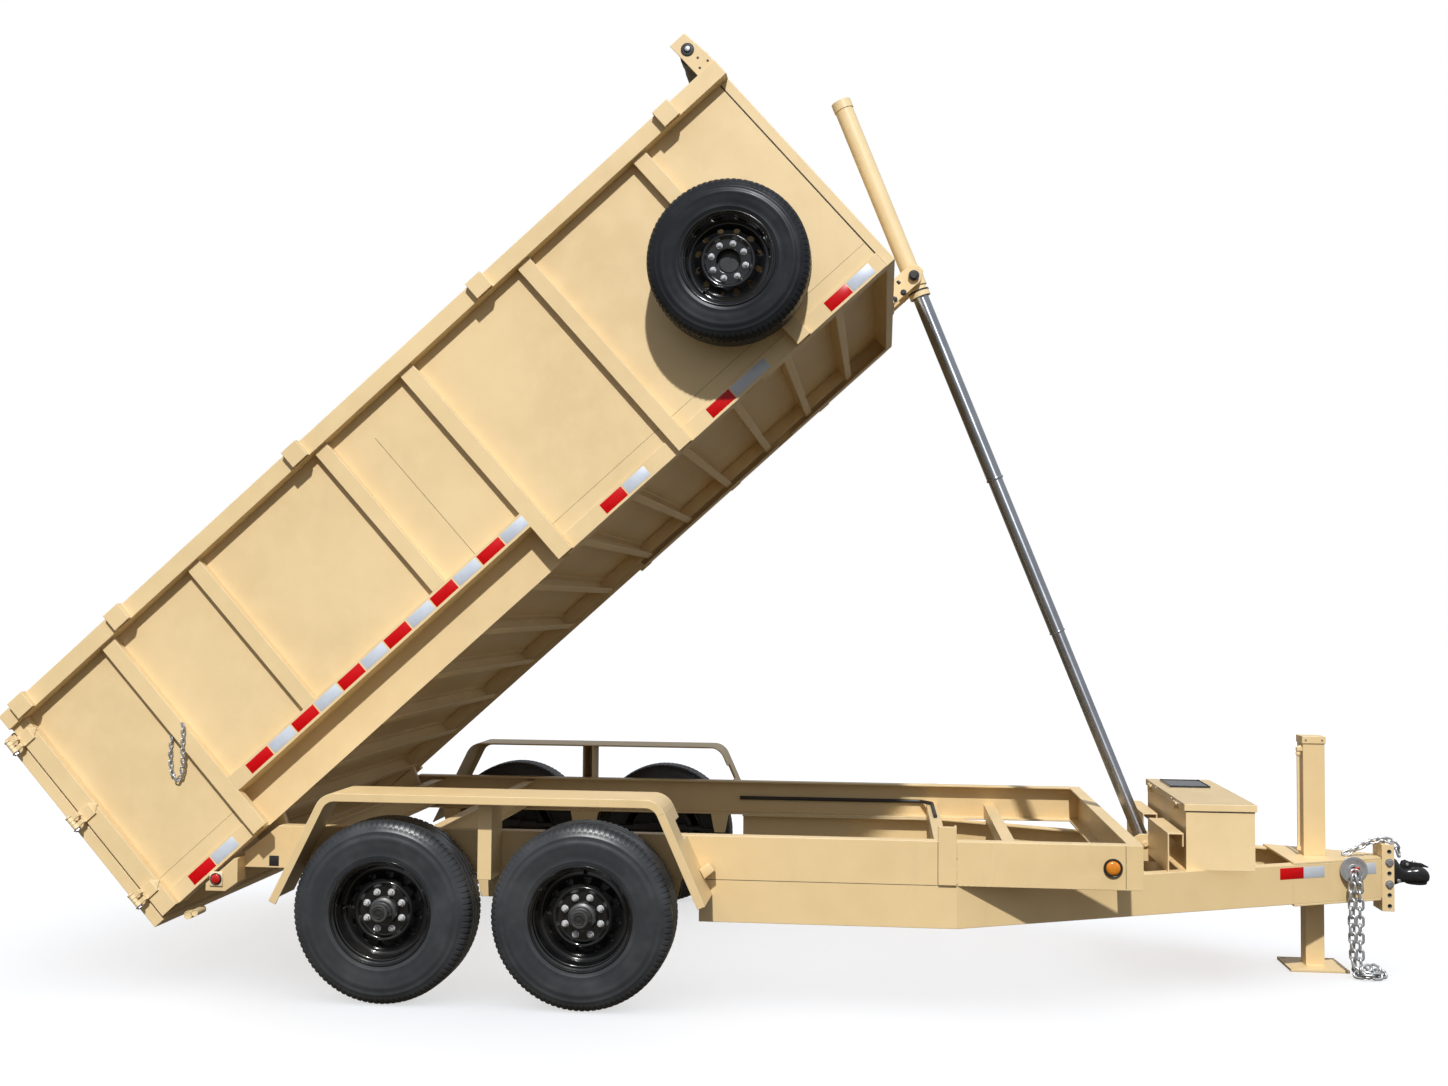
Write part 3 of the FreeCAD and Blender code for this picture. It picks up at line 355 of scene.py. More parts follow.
def latch_red(t, co):
    v = t.noise(co, 60.0, 4.0)
    return {"Base Color": t.mix(t.range(v, 0.35, 0.7, 0.0, 1.0), (0.30, 0.010, 0.010), (0.48, 0.030, 0.022)), "Roughness": t.range(v, 0.3, 0.7, 0.28, 0.5), "Normal": bump(t, v, 0.12, 0.0006)}


def gloss_cast(t, co):
    v = t.noise(co, 50.0, 5.0, 0.6)
    return {"Base Color": t.mix(v, (0.006, 0.006, 0.007), (0.022, 0.022, 0.023)), "Roughness": t.range(v, 0.3, 0.7, 0.14, 0.30),
            "Normal": bump(t, t.noise(co, 120.0, 4.0), 0.25, 0.001)}


M = {
    "tan": material("painted_tan", tan, Metallic=0.0),
    "gloss": material("black_gloss_paint", black_gloss, Coat_Weight=0.7, Coat_Roughness=0.05),
    "satin": material("black_satin_paint", black_satin),
    "cast": material("cast_hub_grey", cast_grey, Metallic=0.7),
    "rubber": material("tyre_rubber", rubber),
    "rubber_spare": material("spare_tyre_rubber", lambda t, co: rubber(t, co, 0.42), Specular_IOR_Level=0.2),
    "steel": material("polished_stage_steel", steel, Metallic=1.0, Anisotropic=0.8),
    "zinc": material("zinc_plate", zinc, Metallic=0.8),
    "bolt": material("bolt_steel", bolt_steel, Metallic=0.75),
    # the nuts are only partly metallic, so their bright base shows as a painted glint
    "chrome_and_painted_glint": material("bright_nut", chrome_and_painted_glint, Metallic=0.55),
    "hose": material("hose_rubber", hose),
    "tape_red": material("reflective_red", tape_red, Coat_Weight=0.1, Coat_Roughness=0.2, Specular_IOR_Level=0.25),
    "tape_silver": material("reflective_silver", tape_silver, Coat_Weight=0.15, Coat_Roughness=0.2, Metallic=0.1),
    "lens_red": material("lens_red", lens_red, Coat_Weight=0.8, Coat_Roughness=0.03),
    "lens_amber": material("lens_amber", lens_amber, Coat_Weight=0.8, Coat_Roughness=0.03),
    "cloth": material("mesh_tarp", mesh_cloth, Sheen_Weight=0.3),
    "solar": material("solar_cells", solar, Coat_Weight=0.3, Coat_Roughness=0.05, Specular_IOR_Level=0.3),
    "plastic_and_painted_shade": material("black_plastic", plastic_and_painted_shade),
    "caulk": material("seam_caulk", caulk),
    "latch": material("red_latch_paint", latch_red),
    "gloss_cast": material("cast_black_paint", gloss_cast),
    "tan_round": material("painted_tan_on_tube", lambda t, co: tan(t, co, (0.76, 0.59, 0.335), 0.0, 0.0)),
    "pale": material("pale_painted_tan", lambda t, co: tan(t, co, (0.78, 0.66, 0.46), 0.3)),
}


def dress(name, mat):
    o = NODES[name]
    o.data.materials.clear()
    o.data.materials.append(M[mat])


for name in NODES:
    dress(name, "tan")
for name in NODES:
    if name.startswith("tyre_") or name == "spare_tyre":
        dress(name, "rubber")
    elif name.startswith("wheel_") or name == "spare_rim":
        dress(name, "gloss")
for name in ("coupler", "axle_rear", "axle_front", "suspension", "power_unit", "spare_mount"):
    dress(name, "satin")
for name in ("hoist_stage_1", "hoist_stage_2", "hoist_stage_3"):
    dress(name, "steel")
for name in ("hoist_barrel", "jack_hose"):
    dress(name, "tan_round")
dress("tarp_roller", "cloth")
dress("safety_chains", "zinc")
dress("chain_holder", "zinc")
dress("solar_panel", "solar")
dress("spare_tyre", "rubber_spare")
dress("hydraulic_line", "hose")
dress("lights", "lens_amber")


# ------------------------------------------------------------------ mesh helpers
def finish_mesh(name, bm, mat, body, angle=35.0, mats=None):
    bmesh.ops.recalc_face_normals(bm, faces=bm.faces)
    me = bpy.data.meshes.new(name)
    bm.to_mesh(me)
    bm.free()
    for m in (mats or [mat]):
        me.materials.append(M[m])
    me.shade_smooth()
    me.set_sharp_from_angle(angle=math.radians(angle))
    o = bpy.data.objects.new(name, me)
    bpy.context.scene.collection.objects.link(o)
    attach(o, body)
    return o


def box_(bm, m, a, b, bev=1.0, mi=0, seg=2):
    """A box between two corners in the axes of m, with rounded edges."""
    lo = [min(p, q) for p, q in zip(a, b)]
    hi = [max(p, q) for p, q in zip(a, b)]
    t = bmesh.new()
    bmesh.ops.create_cube(t, size=1.0)
    for v in t.verts:
        v.co = Vector([lo[i] + (v.co[i] + 0.5) * (hi[i] - lo[i]) for i in range(3)])
    if bev > 0:
        bmesh.ops.bevel(t, geom=list(t.edges), offset=min(bev, 0.45 * min(h - l for l, h in zip(lo, hi))), segments=seg, affect="EDGES", profile=0.5)
    merge(bm, t, m, mi)


def merge(bm, t, m, mi=0):
    bmesh.ops.transform(t, matrix=m, verts=t.verts)
    me = bpy.data.meshes.new("tmp")
    for f in t.faces:
        f.material_index = mi
    t.to_mesh(me)
    t.free()
    n0 = len(bm.faces)
    bm.from_mesh(me)
    bpy.data.meshes.remove(me)


def axis_matrix(origin, d):
    d = Vector(d).normalized()
    h = Vector((0, 0, 1)) if abs(d.z) < 0.9 else Vector((1, 0, 0))
    x = h.cross(d).normalized()
    y = d.cross(x)
    o = Vector(origin)
    return Matrix(((x.x, y.x, d.x, o.x), (x.y, y.y, d.y, o.y), (x.z, y.z, d.z, o.z), (0, 0, 0, 1)))


def lathe_(bm, m, origin, d, prof, n=48, mi=0, closed=False, caps=True):
    """Turns (radius, height) points about an axis; ends at radius 0 are closed by a point."""
    t = bmesh.new()
    rings = []
    for r, h in prof:
        if r < 1e-6:
            rings.append([t.verts.new((0, 0, h))])
        else:
            rings.append([t.verts.new((r * math.cos(2 * math.pi * k / n), r * math.sin(2 * math.pi * k / n), h)) for k in range(n)])
    seq = list(zip(rings, rings[1:])) + ([(rings[-1], rings[0])] if closed else [])
    for a, b in seq:
        for k in range(n):
            k2 = (k + 1) % n
            if len(a) == 1 and len(b) == 1:
                continue
            if len(a) == 1:
                t.faces.new((a[0], b[k], b[k2]))
            elif len(b) == 1:
                t.faces.new((a[k], a[k2], b[0]))
            else:
                t.faces.new((a[k], a[k2], b[k2], b[k]))
    if caps and not closed:
        for ring in (rings[0], rings[-1]):
            if len(ring) > 1:
                t.faces.new(ring)
    merge(bm, t, m @ axis_matrix(origin, d), mi)


def hexhead_(bm, m, origin, d, af=19.0, h=10.0, washer=True, mi=0):
    """A bolt head or nut with its washer, standing on origin along d."""
    t = bmesh.new()
    r = af / 2 / math.cos(math.pi / 6)
    prof = [(r * 0.88, h), (r, h * 0.86), (r, 0.0)]
    rings = []
    for rr, hh in prof:
        rings.append([t.verts.new((rr * math.cos(math.pi / 3 * k), rr * math.sin(math.pi / 3 * k), hh)) for k in range(6)])
    for a, b in zip(rings, rings[1:]):
        for k in range(6):
            t.faces.new((a[k], a[(k + 1) % 6], b[(k + 1) % 6], b[k]))
    t.faces.new(rings[0])
    t.faces.new(rings[-1])
    merge(bm, t, m @ axis_matrix(origin, d), mi)
    if washer:
        lathe_(bm, m, origin, d, [(0, -0.1), (af * 0.78, -0.1), (af * 0.8, 1.0), (af * 0.78, 2.2), (0, 2.2)], 24, mi)


def prism_(bm, m, pts, y0, y1, bev=0.8, mi=0):
    """An outline of (x, z) points pulled along y, in the axes of m."""
    t = bmesh.new()
    a = [t.verts.new((x, y0, z)) for x, z in pts]
    b = [t.verts.new((x, y1, z)) for x, z in pts]
    t.faces.new(a)
    t.faces.new(b[::-1])
    n = len(pts)
    for k in range(n):
        t.faces.new((a[k], b[k], b[(k + 1) % n], a[(k + 1) % n]))
    if bev > 0:
        bmesh.ops.bevel(t, geom=list(t.edges), offset=bev, segments=2, affect="EDGES", profile=0.5)
    merge(bm, t, m, mi)


def tube_points(pts, n=10, samples=8):
    """A smooth line through points (Catmull-Rom), as a list of vectors."""
    P = [Vector(p) for p in pts]
    P = [P[0] + (P[0] - P[1])] + P + [P[-1] + (P[-1] - P[-2])]
    out = []
    for i in range(1, len(P) - 2):
        for k in range(samples):
            t = k / samples
            a, b, c, d = P[i - 1], P[i], P[i + 1], P[i + 2]
            out.append(0.5 * ((2 * b) + (c - a) * t + (2 * a - 5 * b + 4 * c - d) * t * t + (3 * b - a - 3 * c + d) * t ** 3))
    out.append(P[-2])
    return out


def sweep_(bm, m, line, r, n=10, mi=0, caps=True, taper=None):
    """A round section carried along a line of points, without twist."""
    t = bmesh.new()
    L = [Vector(p) for p in line]
    tang = []
    for i in range(len(L)):
        a = L[max(0, i - 1)]
        b = L[min(len(L) - 1, i + 1)]
        tang.append((b - a).normalized())
    ref = Vector((0, 0, 1)) if abs(tang[0].z) < 0.9 else Vector((1, 0, 0))
    x = ref.cross(tang[0]).normalized()
    rings = []
    for i, p in enumerate(L):
        if i:
            x = (x - tang[i] * x.dot(tang[i])).normalized()
        y = tang[i].cross(x)
        rr = r if taper is None else r * taper(i / (len(L) - 1))
        rings.append([t.verts.new(p + (x * math.cos(2 * math.pi * k / n) + y * math.sin(2 * math.pi * k / n)) * rr) for k in range(n)])
    for a, b in zip(rings, rings[1:]):
        for k in range(n):
            t.faces.new((a[k], a[(k + 1) % n], b[(k + 1) % n], b[k]))
    if caps:
        t.faces.new(rings[0][::-1])
        t.faces.new(rings[-1])
    merge(bm, t, m, mi)


# ------------------------------------------------------------------ lights and floor
def sun(name, d, strength, angle, color=(1, 1, 1)):
    l = bpy.data.lights.new(name, "SUN")
    l.energy = strength
    l.angle = math.radians(angle)
    l.color = color
    o = bpy.data.objects.new(name, l)
    o.rotation_mode = "QUATERNION"
    o.rotation_quaternion = Vector(d).to_track_quat("-Z", "Y")
    bpy.context.scene.collection.objects.link(o)
    return o


key = sun("key_light", (-0.175, 1.0, -0.87), 3.95, 1.6, (0.965, 0.975, 1.0))
key_low = sun("key_light_frame", (0.04, 1.0, -1.25), 4.0, 1.6, (1.0, 0.985, 0.955))
floor_light = sun("floor_light", (0.0, 0.0, -1.0), 2.2, 10.0)
floor_light.data.use_shadow = False

bm = bmesh.new()
bmesh.ops.create_grid(bm, x_segments=1, y_segments=1, size=60.0)
fme = bpy.data.meshes.new("studio_floor")
bm.to_mesh(fme)
bm.free()
floor = bpy.data.objects.new("studio_floor", fme)
floor.location = (0, 0, -0.0006)
bpy.context.scene.collection.objects.link(floor)
fm = material("studio_floor", lambda t, co: {"Base Color": t.mix(t.noise(co, 0.7, 2.0), (0.885, 0.885, 0.89), (0.90, 0.90, 0.90))}, Roughness=0.9, Specular_IOR_Level=0.0)
fme.materials.append(fm)
floor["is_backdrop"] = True
floor.visible_diffuse = False
floor.visible_glossy = False

only_floor = bpy.data.collections.new("lit_by_floor_light")
only_floor.objects.link(floor)
floor_light.light_linking.receiver_collection = only_floor

world = bpy.data.worlds.new("studio")
bpy.context.scene.world = world
world.use_nodes = True
wt = Tree(world.node_tree)
wz = wt.n("ShaderNodeSeparateXYZ", ins={0: wt.n("ShaderNodeTexCoord").outputs["Generated"]}).outputs[2]
grad = wt.ramp(wt.range(wz, -1.0, 1.0, 0.0, 1.0), [(0.0, (0.092, 0.068, 0.038)), (0.46, (0.175, 0.160, 0.132)), (0.53, (0.36, 0.37, 0.385)), (1.0, (0.56, 0.60, 0.66))])
bg = wt.n("ShaderNodeBackground", ins={"Color": grad, "Strength": 1.0})
white = wt.n("ShaderNodeBackground", ins={"Color": (1, 1, 1, 1), "Strength": 1.0})
mixw = wt.n("ShaderNodeMixShader", ins={0: wt.n("ShaderNodeLightPath").outputs["Is Camera Ray"], 1: bg.outputs[0], 2: white.outputs[0]})
wt.n("ShaderNodeOutputWorld", ins={0: mixw.outputs[0]})

# ------------------------------------------------------------------ tyres
def tyre_bm(R, rb, w, pitches, deep=7.0, zig=3.0):
    """A tyre about the Y axis, its outer sidewall at y = 0 and its body towards +y."""
    k = (R - rb) / (391.0 - 222.0)
    side = [(209, 15), (215, 12.5), (222.6, 8.2), (231, 5.2), (236, 4.8), (239, 3.0), (243, 2.6), (246, 3.4), (265, 1.0), (290, 0.2), (306, 0.5), (309, -0.0),
            (321, 1.0), (324, 2.6), (338, 5.2), (341, 4.6), (346, 6.0), (349, 8.4), (360, 11.5)]
    half = [(391 - (391 - r) * k, o, 0.0, 0) for r, o in side]
    for r, o in ((371, 17.5), (377, 22.5), (384, 29.0), (388, 36.0), (389.6, 45.0)):
        half.append((391 - (391 - r) * k, o, 0.0, 1))
    half = [(r - 391 + R, o, z, s) for r, o, z, s in half]
    grooves = [o * w / 235.0 for o in (60.0, 97.0)]
    prof = list(half)
    crown = [R - 1.2, R]
    for g, top in zip(grooves, crown):
        prof += [(top, g - 4.5, zig, 0), (top - deep, g - 2.6, zig, 0), (top - deep, g + 2.6, zig, 0), (top, g + 4.5, zig, 0)]
    prof.append((R, w / 2, 0.0, 0))
    full = prof + [(r, w - o, z, s) for r, o, z, s in prof[-2::-1]]
    bm = bmesh.new()
    cols = []
    for p in range(pitches):
        for j, f in enumerate((0.0, 0.56, 0.61, 0.94)):
            a = 2 * math.pi * (p + f) / pitches
            cut = 3.4 if j in (2, 3) else 0.0
            ca, sa = math.cos(a), math.sin(a)
            z = (1.0 if (p % 2 == 0) else -1.0) * (1.0 if j in (0, 1) else -1.0)
            ring = []
            for r, o, zz, s in full:
                rr = r - (cut if s else 0.0)
                ring.append(bm.verts.new((rr * ca, o + zz * z * 0.5, rr * sa)))
            cols.append(ring)
    n = len(cols)
    for i in range(n):
        a, b = cols[i], cols[(i + 1) % n]
        m = len(a)
        for q in range(m):
            q2 = (q + 1) % m
            bm.faces.new((a[q], a[q2], b[q2], b[q]))
    return bm


MM = Matrix.Scale(0.001, 4)
WHEELS = {"rear_right": (-835.0, -1), "front_right": (29.0, -1), "rear_left": (-835.0, 1), "front_left": (29.0, 1)}
FLIP = Matrix.Rotation(math.pi, 4, "Z")


def wheel_matrix(x, s, spin):
    p = Matrix.Translation(W(x, s * 1283.0, 391.0))
    return p @ (FLIP if s > 0 else Matrix.Identity(4)) @ Matrix.Rotation(spin, 4, "Y")


def scaled(bm):
    bmesh.ops.transform(bm, matrix=MM, verts=bm.verts)
    return bm


def place_piece(name, bm, mats, body, slot, matrix, angle=35.0, node=None):
    """A piece whose mesh is in millimetres about its own origin, put where matrix says."""
    scaled(bm)
    bmesh.ops.recalc_face_normals(bm, faces=bm.faces)
    me = bpy.data.meshes.new(name)
    bm.to_mesh(me)
    bm.free()
    for m in mats:
        me.materials.append(M[m])
    me.shade_smooth()
    me.set_sharp_from_angle(angle=math.radians(angle))
    return place_mesh(name, me, body, matrix, node)


def place_mesh(name, me, body, matrix, node=None):
    o = bpy.data.objects.new(name, me)
    bpy.context.scene.collection.objects.link(o)
    o.matrix_world = matrix
    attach(o, body)
    if node:
        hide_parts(node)
    return o


def smooth_profile(pts, n=4):
    """Catmull-Rom through (r, o) points."""
    P = [Vector((p[0], p[1])) for p in pts]
    P = [P[0]] + P + [P[-1]]
    out = []
    for i in range(1, len(P) - 2):
        for k in range(n):
            t = k / n
            a, b, c, d = P[i - 1], P[i], P[i + 1], P[i + 2]
            out.append(0.5 * ((2 * b) + (c - a) * t + (2 * a - 5 * b + 4 * c - d) * t * t + (3 * b - a - 3 * c + d) * t ** 3))
    out.append(P[-2])
    return [(v.x, v.y) for v in out]


def offset_at(prof, r):
    for (a, oa), (b, ob) in zip(prof, prof[1:]):
        if min(a, b) <= r <= max(a, b) and abs(b - a) > 1e-9:
            return oa + (ob - oa) * (r - a) / (b - a)
    return prof[0][1] if abs(prof[0][0] - r) < abs(prof[-1][0] - r) else prof[-1][1]


def disc_bm(prof, r0, r1, holes, rh, rc, thick=4.5, long=1.0):
    """A pressed disc about the Y axis from its (r, y) profile, with a ring of hand holes between r0 and r1."""
    t = bmesh.new()
    seg = 8
    n = holes * seg
    radii = sorted({round(p[0], 4) for p in prof if p[0] < r0 - 0.5} | {r0}) , sorted({round(p[0], 4) for p in prof if p[0] > r1 + 0.5} | {r1})

    def P(r, a):
        return Vector((r * math.cos(a), offset_at(prof, r), r * math.sin(a)))

    for rr in radii:
        for a, b in zip(rr, rr[1:]):
            for k in range(n):
                a0, a1 = 2 * math.pi * k / n, 2 * math.pi * (k + 1) / n
                t.faces.new([t.verts.new(P(*q)) for q in ((a, a0), (a, a1), (b, a1), (b, a0))])
    for h in range(holes):
        mid = 2 * math.pi * (h + 0.5) / holes
        da = math.pi / holes
        loop = []
        loop += [(r0, mid - da + 2 * da * k / seg) for k in range(seg)]
        loop += [(r0 + (r1 - r0) * k / 4, mid + da) for k in range(4)]
        loop += [(r1, mid + da - 2 * da * k / seg) for k in range(seg)]
        loop += [(r1 - (r1 - r0) * k / 4, mid - da) for k in range(4)]
        hole = []
        for r, a in loop:
            dr, dt = r - rc, (a - mid) * rc
            q = math.atan2(dt, dr)
            hole.append((rc + rh * math.cos(q), mid + long * rh * math.sin(q) / rc))
        for s0, s1 in ((0.0, 0.5), (0.5, 0.85), (0.85, 1.0)):
            m = len(loop)
            for k in range(m):
                k2 = (k + 1) % m
                pts = []
                for idx, s in ((k, s0), (k2, s0), (k2, s1), (k, s1)):
                    r = loop[idx][0] + (hole[idx][0] - loop[idx][0]) * s
                    a = loop[idx][1] + (hole[idx][1] - loop[idx][1]) * s
                    v = P(r, a)
                    if s == 1.0:
                        v.y += 1.6
                    pts.append(v)
                t.faces.new([t.verts.new(v) for v in pts])
    bmesh.ops.remove_doubles(t, verts=t.verts, dist=0.02)
    bmesh.ops.recalc_face_normals(t, faces=t.faces)
    # the second skin, behind the first, and a wall round every edge
    edges = [e for e in t.edges if len(e.link_faces) == 1]
    dup = {v: t.verts.new(v.co + Vector((0, thick, 0))) for v in list(t.verts)}
    for f in list(t.faces):
        t.faces.new([dup[v] for v in reversed(f.verts)])
    for e in edges:
        a, b = e.verts
        t.faces.new((a, b, dup[b], dup[a]))
    return t


def nut_(bm, p, d, af=21.0, h=19.0, stud=7.0, reach=27.0, mi=0):
    m0 = Matrix.Identity(4)
    lathe_(bm, m0, p, d, [(0, 0), (15.5, 0), (15.5, 1.5), (13.0, 4.0), (0, 4.0)], 20, mi)
    hexhead_(bm, m0, Vector(p) + Vector(d) * 3.5, d, af, h - 3.5, False, mi)
    lathe_(bm, m0, p, d, [(0, 0), (stud, 0), (stud, reach - 2), (stud - 1.6, reach), (0, reach)], 14, mi)


def rim_bm(hub=True):
    bm = bmesh.new()
    I = Matrix.Identity(4)
    w = 235.0
    # barrel: rolled lip, bead seat, hump, drop centre and the inner half, as one closed section
    out = [(222.5, 9.4), (223.6, 6.6), (222.8, 3.6), (219.6, 2.5), (216.4, 3.6), (214.8, 6.8), (213.0, 9.6), (208.2, 12.2), (205.6, 15.0), (205.0, 30.0), (203.2, 33.0), (200.6, 34.6),
           (200.0, 40.0), (199.0, 45.0), (193.6, 56.0), (191.4, 60.0), (191.0, 66.0), (191.0, 110.0), (195.0, 124.0), (201.4, 132.0), (202.2, 190.0), (204.6, 218.0), (208.6, 222.0),
           (213.0, 225.4), (215.0, 228.6), (216.6, 231.4), (219.6, 232.5), (222.8, 231.4), (223.6, 228.4), (222.5, 225.6), (217.5, 224.0), (211.5, 219.0), (208.6, 215.0),
           (206.0, 190.0), (205.4, 134.0), (199.0, 127.0), (195.2, 114.0), (195.2, 62.0), (203.6, 44.0), (206.6, 33.0), (208.6, 20.0), (211.5, 15.8), (217.5, 11.0)]
    lathe_(bm, I, (0, 0, 0), (0, 1, 0), out, 96, 0, closed=True)
    prof = smooth_profile([(60, 73), (72, 72), (98, 72), (106, 70), (114, 61), (119, 58.6), (124, 59.4), (134, 70), (150, 88), (162, 97), (172, 101), (184, 103), (189, 100), (191.2, 96)], 3)
    disc = disc_bm(prof, 124.0, 166.0, 12, 15.5, 146.0)
    merge(bm, disc, I, 0)
    # weld where the disc meets the barrel
    lathe_(bm, I, (0, 0, 0), (0, 1, 0), [(191.4, 93.0), (188.6, 95.0), (187.4, 98.5), (191.4, 103.0)], 96, 0, closed=True)
    if hub:
        lathe_(bm, I, (0, 0, 0), (0, 1, 0), [(0, 80), (60, 80), (60, 73), (59.4, 52), (57.5, 46), (52.0, 42.0), (47.0, 40.0), (45.5, 37.0), (45.0, 22.0), (43.0, 19.0), (40.5, 18.0), (40.0, 2.0),
                                             (38.8, -3.0), (36.0, -6.6), (32.0, -7.6), (29.0, -7.2), (27.6, -4.6), (24.6, -4.2), (23.6, -5.4)], 64, 1, caps=False)
        lathe_(bm, I, (0, 0, 0), (0, 1, 0), [(23.8, -4.6), (23.0, -7.0), (20.5, -7.8), (18.0, -7.0), (16.6, -5.2), (7.0, -5.6), (5.8, -7.4), (0, -7.8)], 48, 3, caps=False)
        # the brake drum behind the disc, with its ribs
        lathe_(bm, I, (0, 0, 0), (0, 1, 0), [(25, 80.2), (94, 80.2), (98, 84), (114, 111), (168, 112), (174, 115), (176, 120), (176, 140), (179, 142), (179, 150), (176, 152), (176, 168),
                                             (179, 170), (179, 178), (176, 180), (176, 214), (180, 216), (180, 236), (170, 238), (25, 238)], 64, 4, closed=True)
    else:
        lathe_(bm, I, (0, 0, 0), (0, 1, 0), [(60.5, 72.6), (58, 73.4), (57.2, 76), (58, 80.2), (60.5, 80.6)], 48, 0, closed=True)
    for k in range(8):
        a = math.pi * 2 * k / 8
        p = (82.55 * math.cos(a), 71.6, 82.55 * math.sin(a))
        nut_(bm, p, (0, -1, 0), mi=2)
    # rubber valve stem with its cap
    a = math.radians(200)
    p = Vector((178 * math.cos(a), 101.0, 178 * math.sin(a)))
    lathe_(bm, I, p, (0, -1, 0), [(0, -2), (8.5, -2), (8.5, 3), (6.0, 6), (5.0, 24), (4.0, 26), (4.0, 30), (0, 30)], 16, 3)
    lathe_(bm, I, p + Vector((0, -27, 0)), (0, -1, 0), [(0, 0), (4.6, 0), (4.6, 9), (3.2, 11), (0, 11)], 16, 3)
    return bm


tb = tyre_bm(391.0, 222.0, 235.0, 96)
rb = rim_bm()
scaled(tb)
scaled(rb)
bmesh.ops.transform(rb, matrix=Matrix.Rotation(0.37, 4, "Y"), verts=rb.verts)
meshes = {}
for key_, b, mats in (("tyre", tb, ["rubber"]), ("rim", rb, ["gloss", "cast", "chrome_and_painted_glint", "plastic_and_painted_shade", "satin"])):
    bmesh.ops.recalc_face_normals(b, faces=b.faces)
    me = bpy.data.meshes.new(key_)
    b.to_mesh(me)
    b.free()
    for m in mats:
        me.materials.append(M[m])
    me.shade_smooth()
    me.set_sharp_from_angle(angle=math.radians(32))
    meshes[key_] = me
for i, (nm, (x, s)) in enumerate(WHEELS.items()):
    spin = (0.0, math.pi / 2, math.pi, -math.pi / 2)[i]
    place_mesh("tread_tyre_" + nm, meshes["tyre"], "wheel_" + nm, wheel_matrix(x, s, spin), "tyre_" + nm)
    place_mesh("rim_and_hub_" + nm, meshes["rim"], "wheel_" + nm, wheel_matrix(x, s, spin), "wheel_" + nm)

# spare, on the bed
SPM = MB @ Matrix.Translation((3770.0, -1372.0, 428.0)) @ Matrix.Rotation(0.2, 4, "Y")


def bed_mesh_piece(name, bm, mats, body, m, node, angle=32.0):
    bmesh.ops.transform(bm, matrix=m, verts=bm.verts)
    o = finish_mesh(name, bm, None, body, angle, mats)
    if node:
        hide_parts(node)
    return o


ts = tyre_bm(346.0, 201.0, 205.0, 86, 6.5, 2.6)
bed_mesh_piece("tread_tyre_spare", ts, ["rubber_spare"], "bed", SPM, "spare_tyre")
rs = rim_bm(False)
bmesh.ops.transform(rs, matrix=Matrix.Diagonal((0.905, 0.872, 0.905, 1.0)), verts=rs.verts)
bed_mesh_piece("rim_spare", rs, ["gloss", "cast", "chrome_and_painted_glint", "plastic_and_painted_shade", "satin"], "bed", SPM, "spare_rim")


# ------------------------------------------------------------------ reflective tape
def strips(name, body, m, red, silver, flip=False):
    """Thin strips given by two opposite corners, a mesh for each colour."""
    for mat, rows in (("tape_red", red), ("tape_silver", silver)):
        b = bmesh.new()
        for lo, hi in rows:
            box_(b, m, lo, hi, 0.3)
        finish_mesh("%s_%s" % (name, mat), b, mat, body)


for side, s in (("right", -1), ("left", 1)):
    red, silver = [], []
    for k in range(12):
        u = 794.0 + 138.3 * k
        (red if k % 2 == 0 else silver).append(((u - 65.0, s * 1125.9, 203.0), (u + 65.0, s * 1126.9, 253.0)))
    for uc, r, hw in ((260, 1, 66), (399, 0, 66), (2725, 1, 62), (2857, 0, 62), (3350, 1, 66), (3520, 0, 98), (4029, 1, 62), (4158, 0, 62)):
        (red if r else silver).append(((uc - hw, s * 1092.9, 12.0), (uc + hw, s * 1093.9, 63.0)))
    strips("reflective_tape_%s" % side, "bed", MB, red, silver)

# tongue: along the outer faces of the two beams
TANG = math.atan2(1025.0 - 62.0, 3640.0 - 1600.0)
for side, s in (("right", -1), ("left", 1)):
    ca, sa = math.cos(TANG), math.sin(TANG)
    # axes along the beam, outward and up
    T = MW @ Matrix(((ca, sa, 0, 1600.0), (-s * sa, s * ca, 0, s * 1025.0), (0, 0, 1, 0), (0, 0, 0, 1)))

    def L(x):
        return (x - 1600.0) / math.cos(TANG)

    red = [((L(3110), -0.1, 461), (L(3230), 0.9, 513)), ((L(3446), -0.1, 461), (L(3491), 0.9, 513))]
    silver = [((L(3230), -0.1, 461), (L(3338), 0.9, 513)), ((L(3491), -0.1, 461), (L(3610), 0.9, 513))]
    strips("reflective_tape_tongue_%s" % side, "frame", T, red, silver)

# rear doors: a row along the lower member of each
for side, s in (("right", -1), ("left", 1)):
    red, silver = [], []
    for k in range(6):
        y = 130.0 + 150.0 * k
        (red if k % 2 == 0 else silver).append(((-58.9, s * y, -6.0), (-57.9, s * (y + 140.0), 32.0)))
    strips("reflective_tape_door_%s" % side, "door_%s" % side, MB, red, silver)

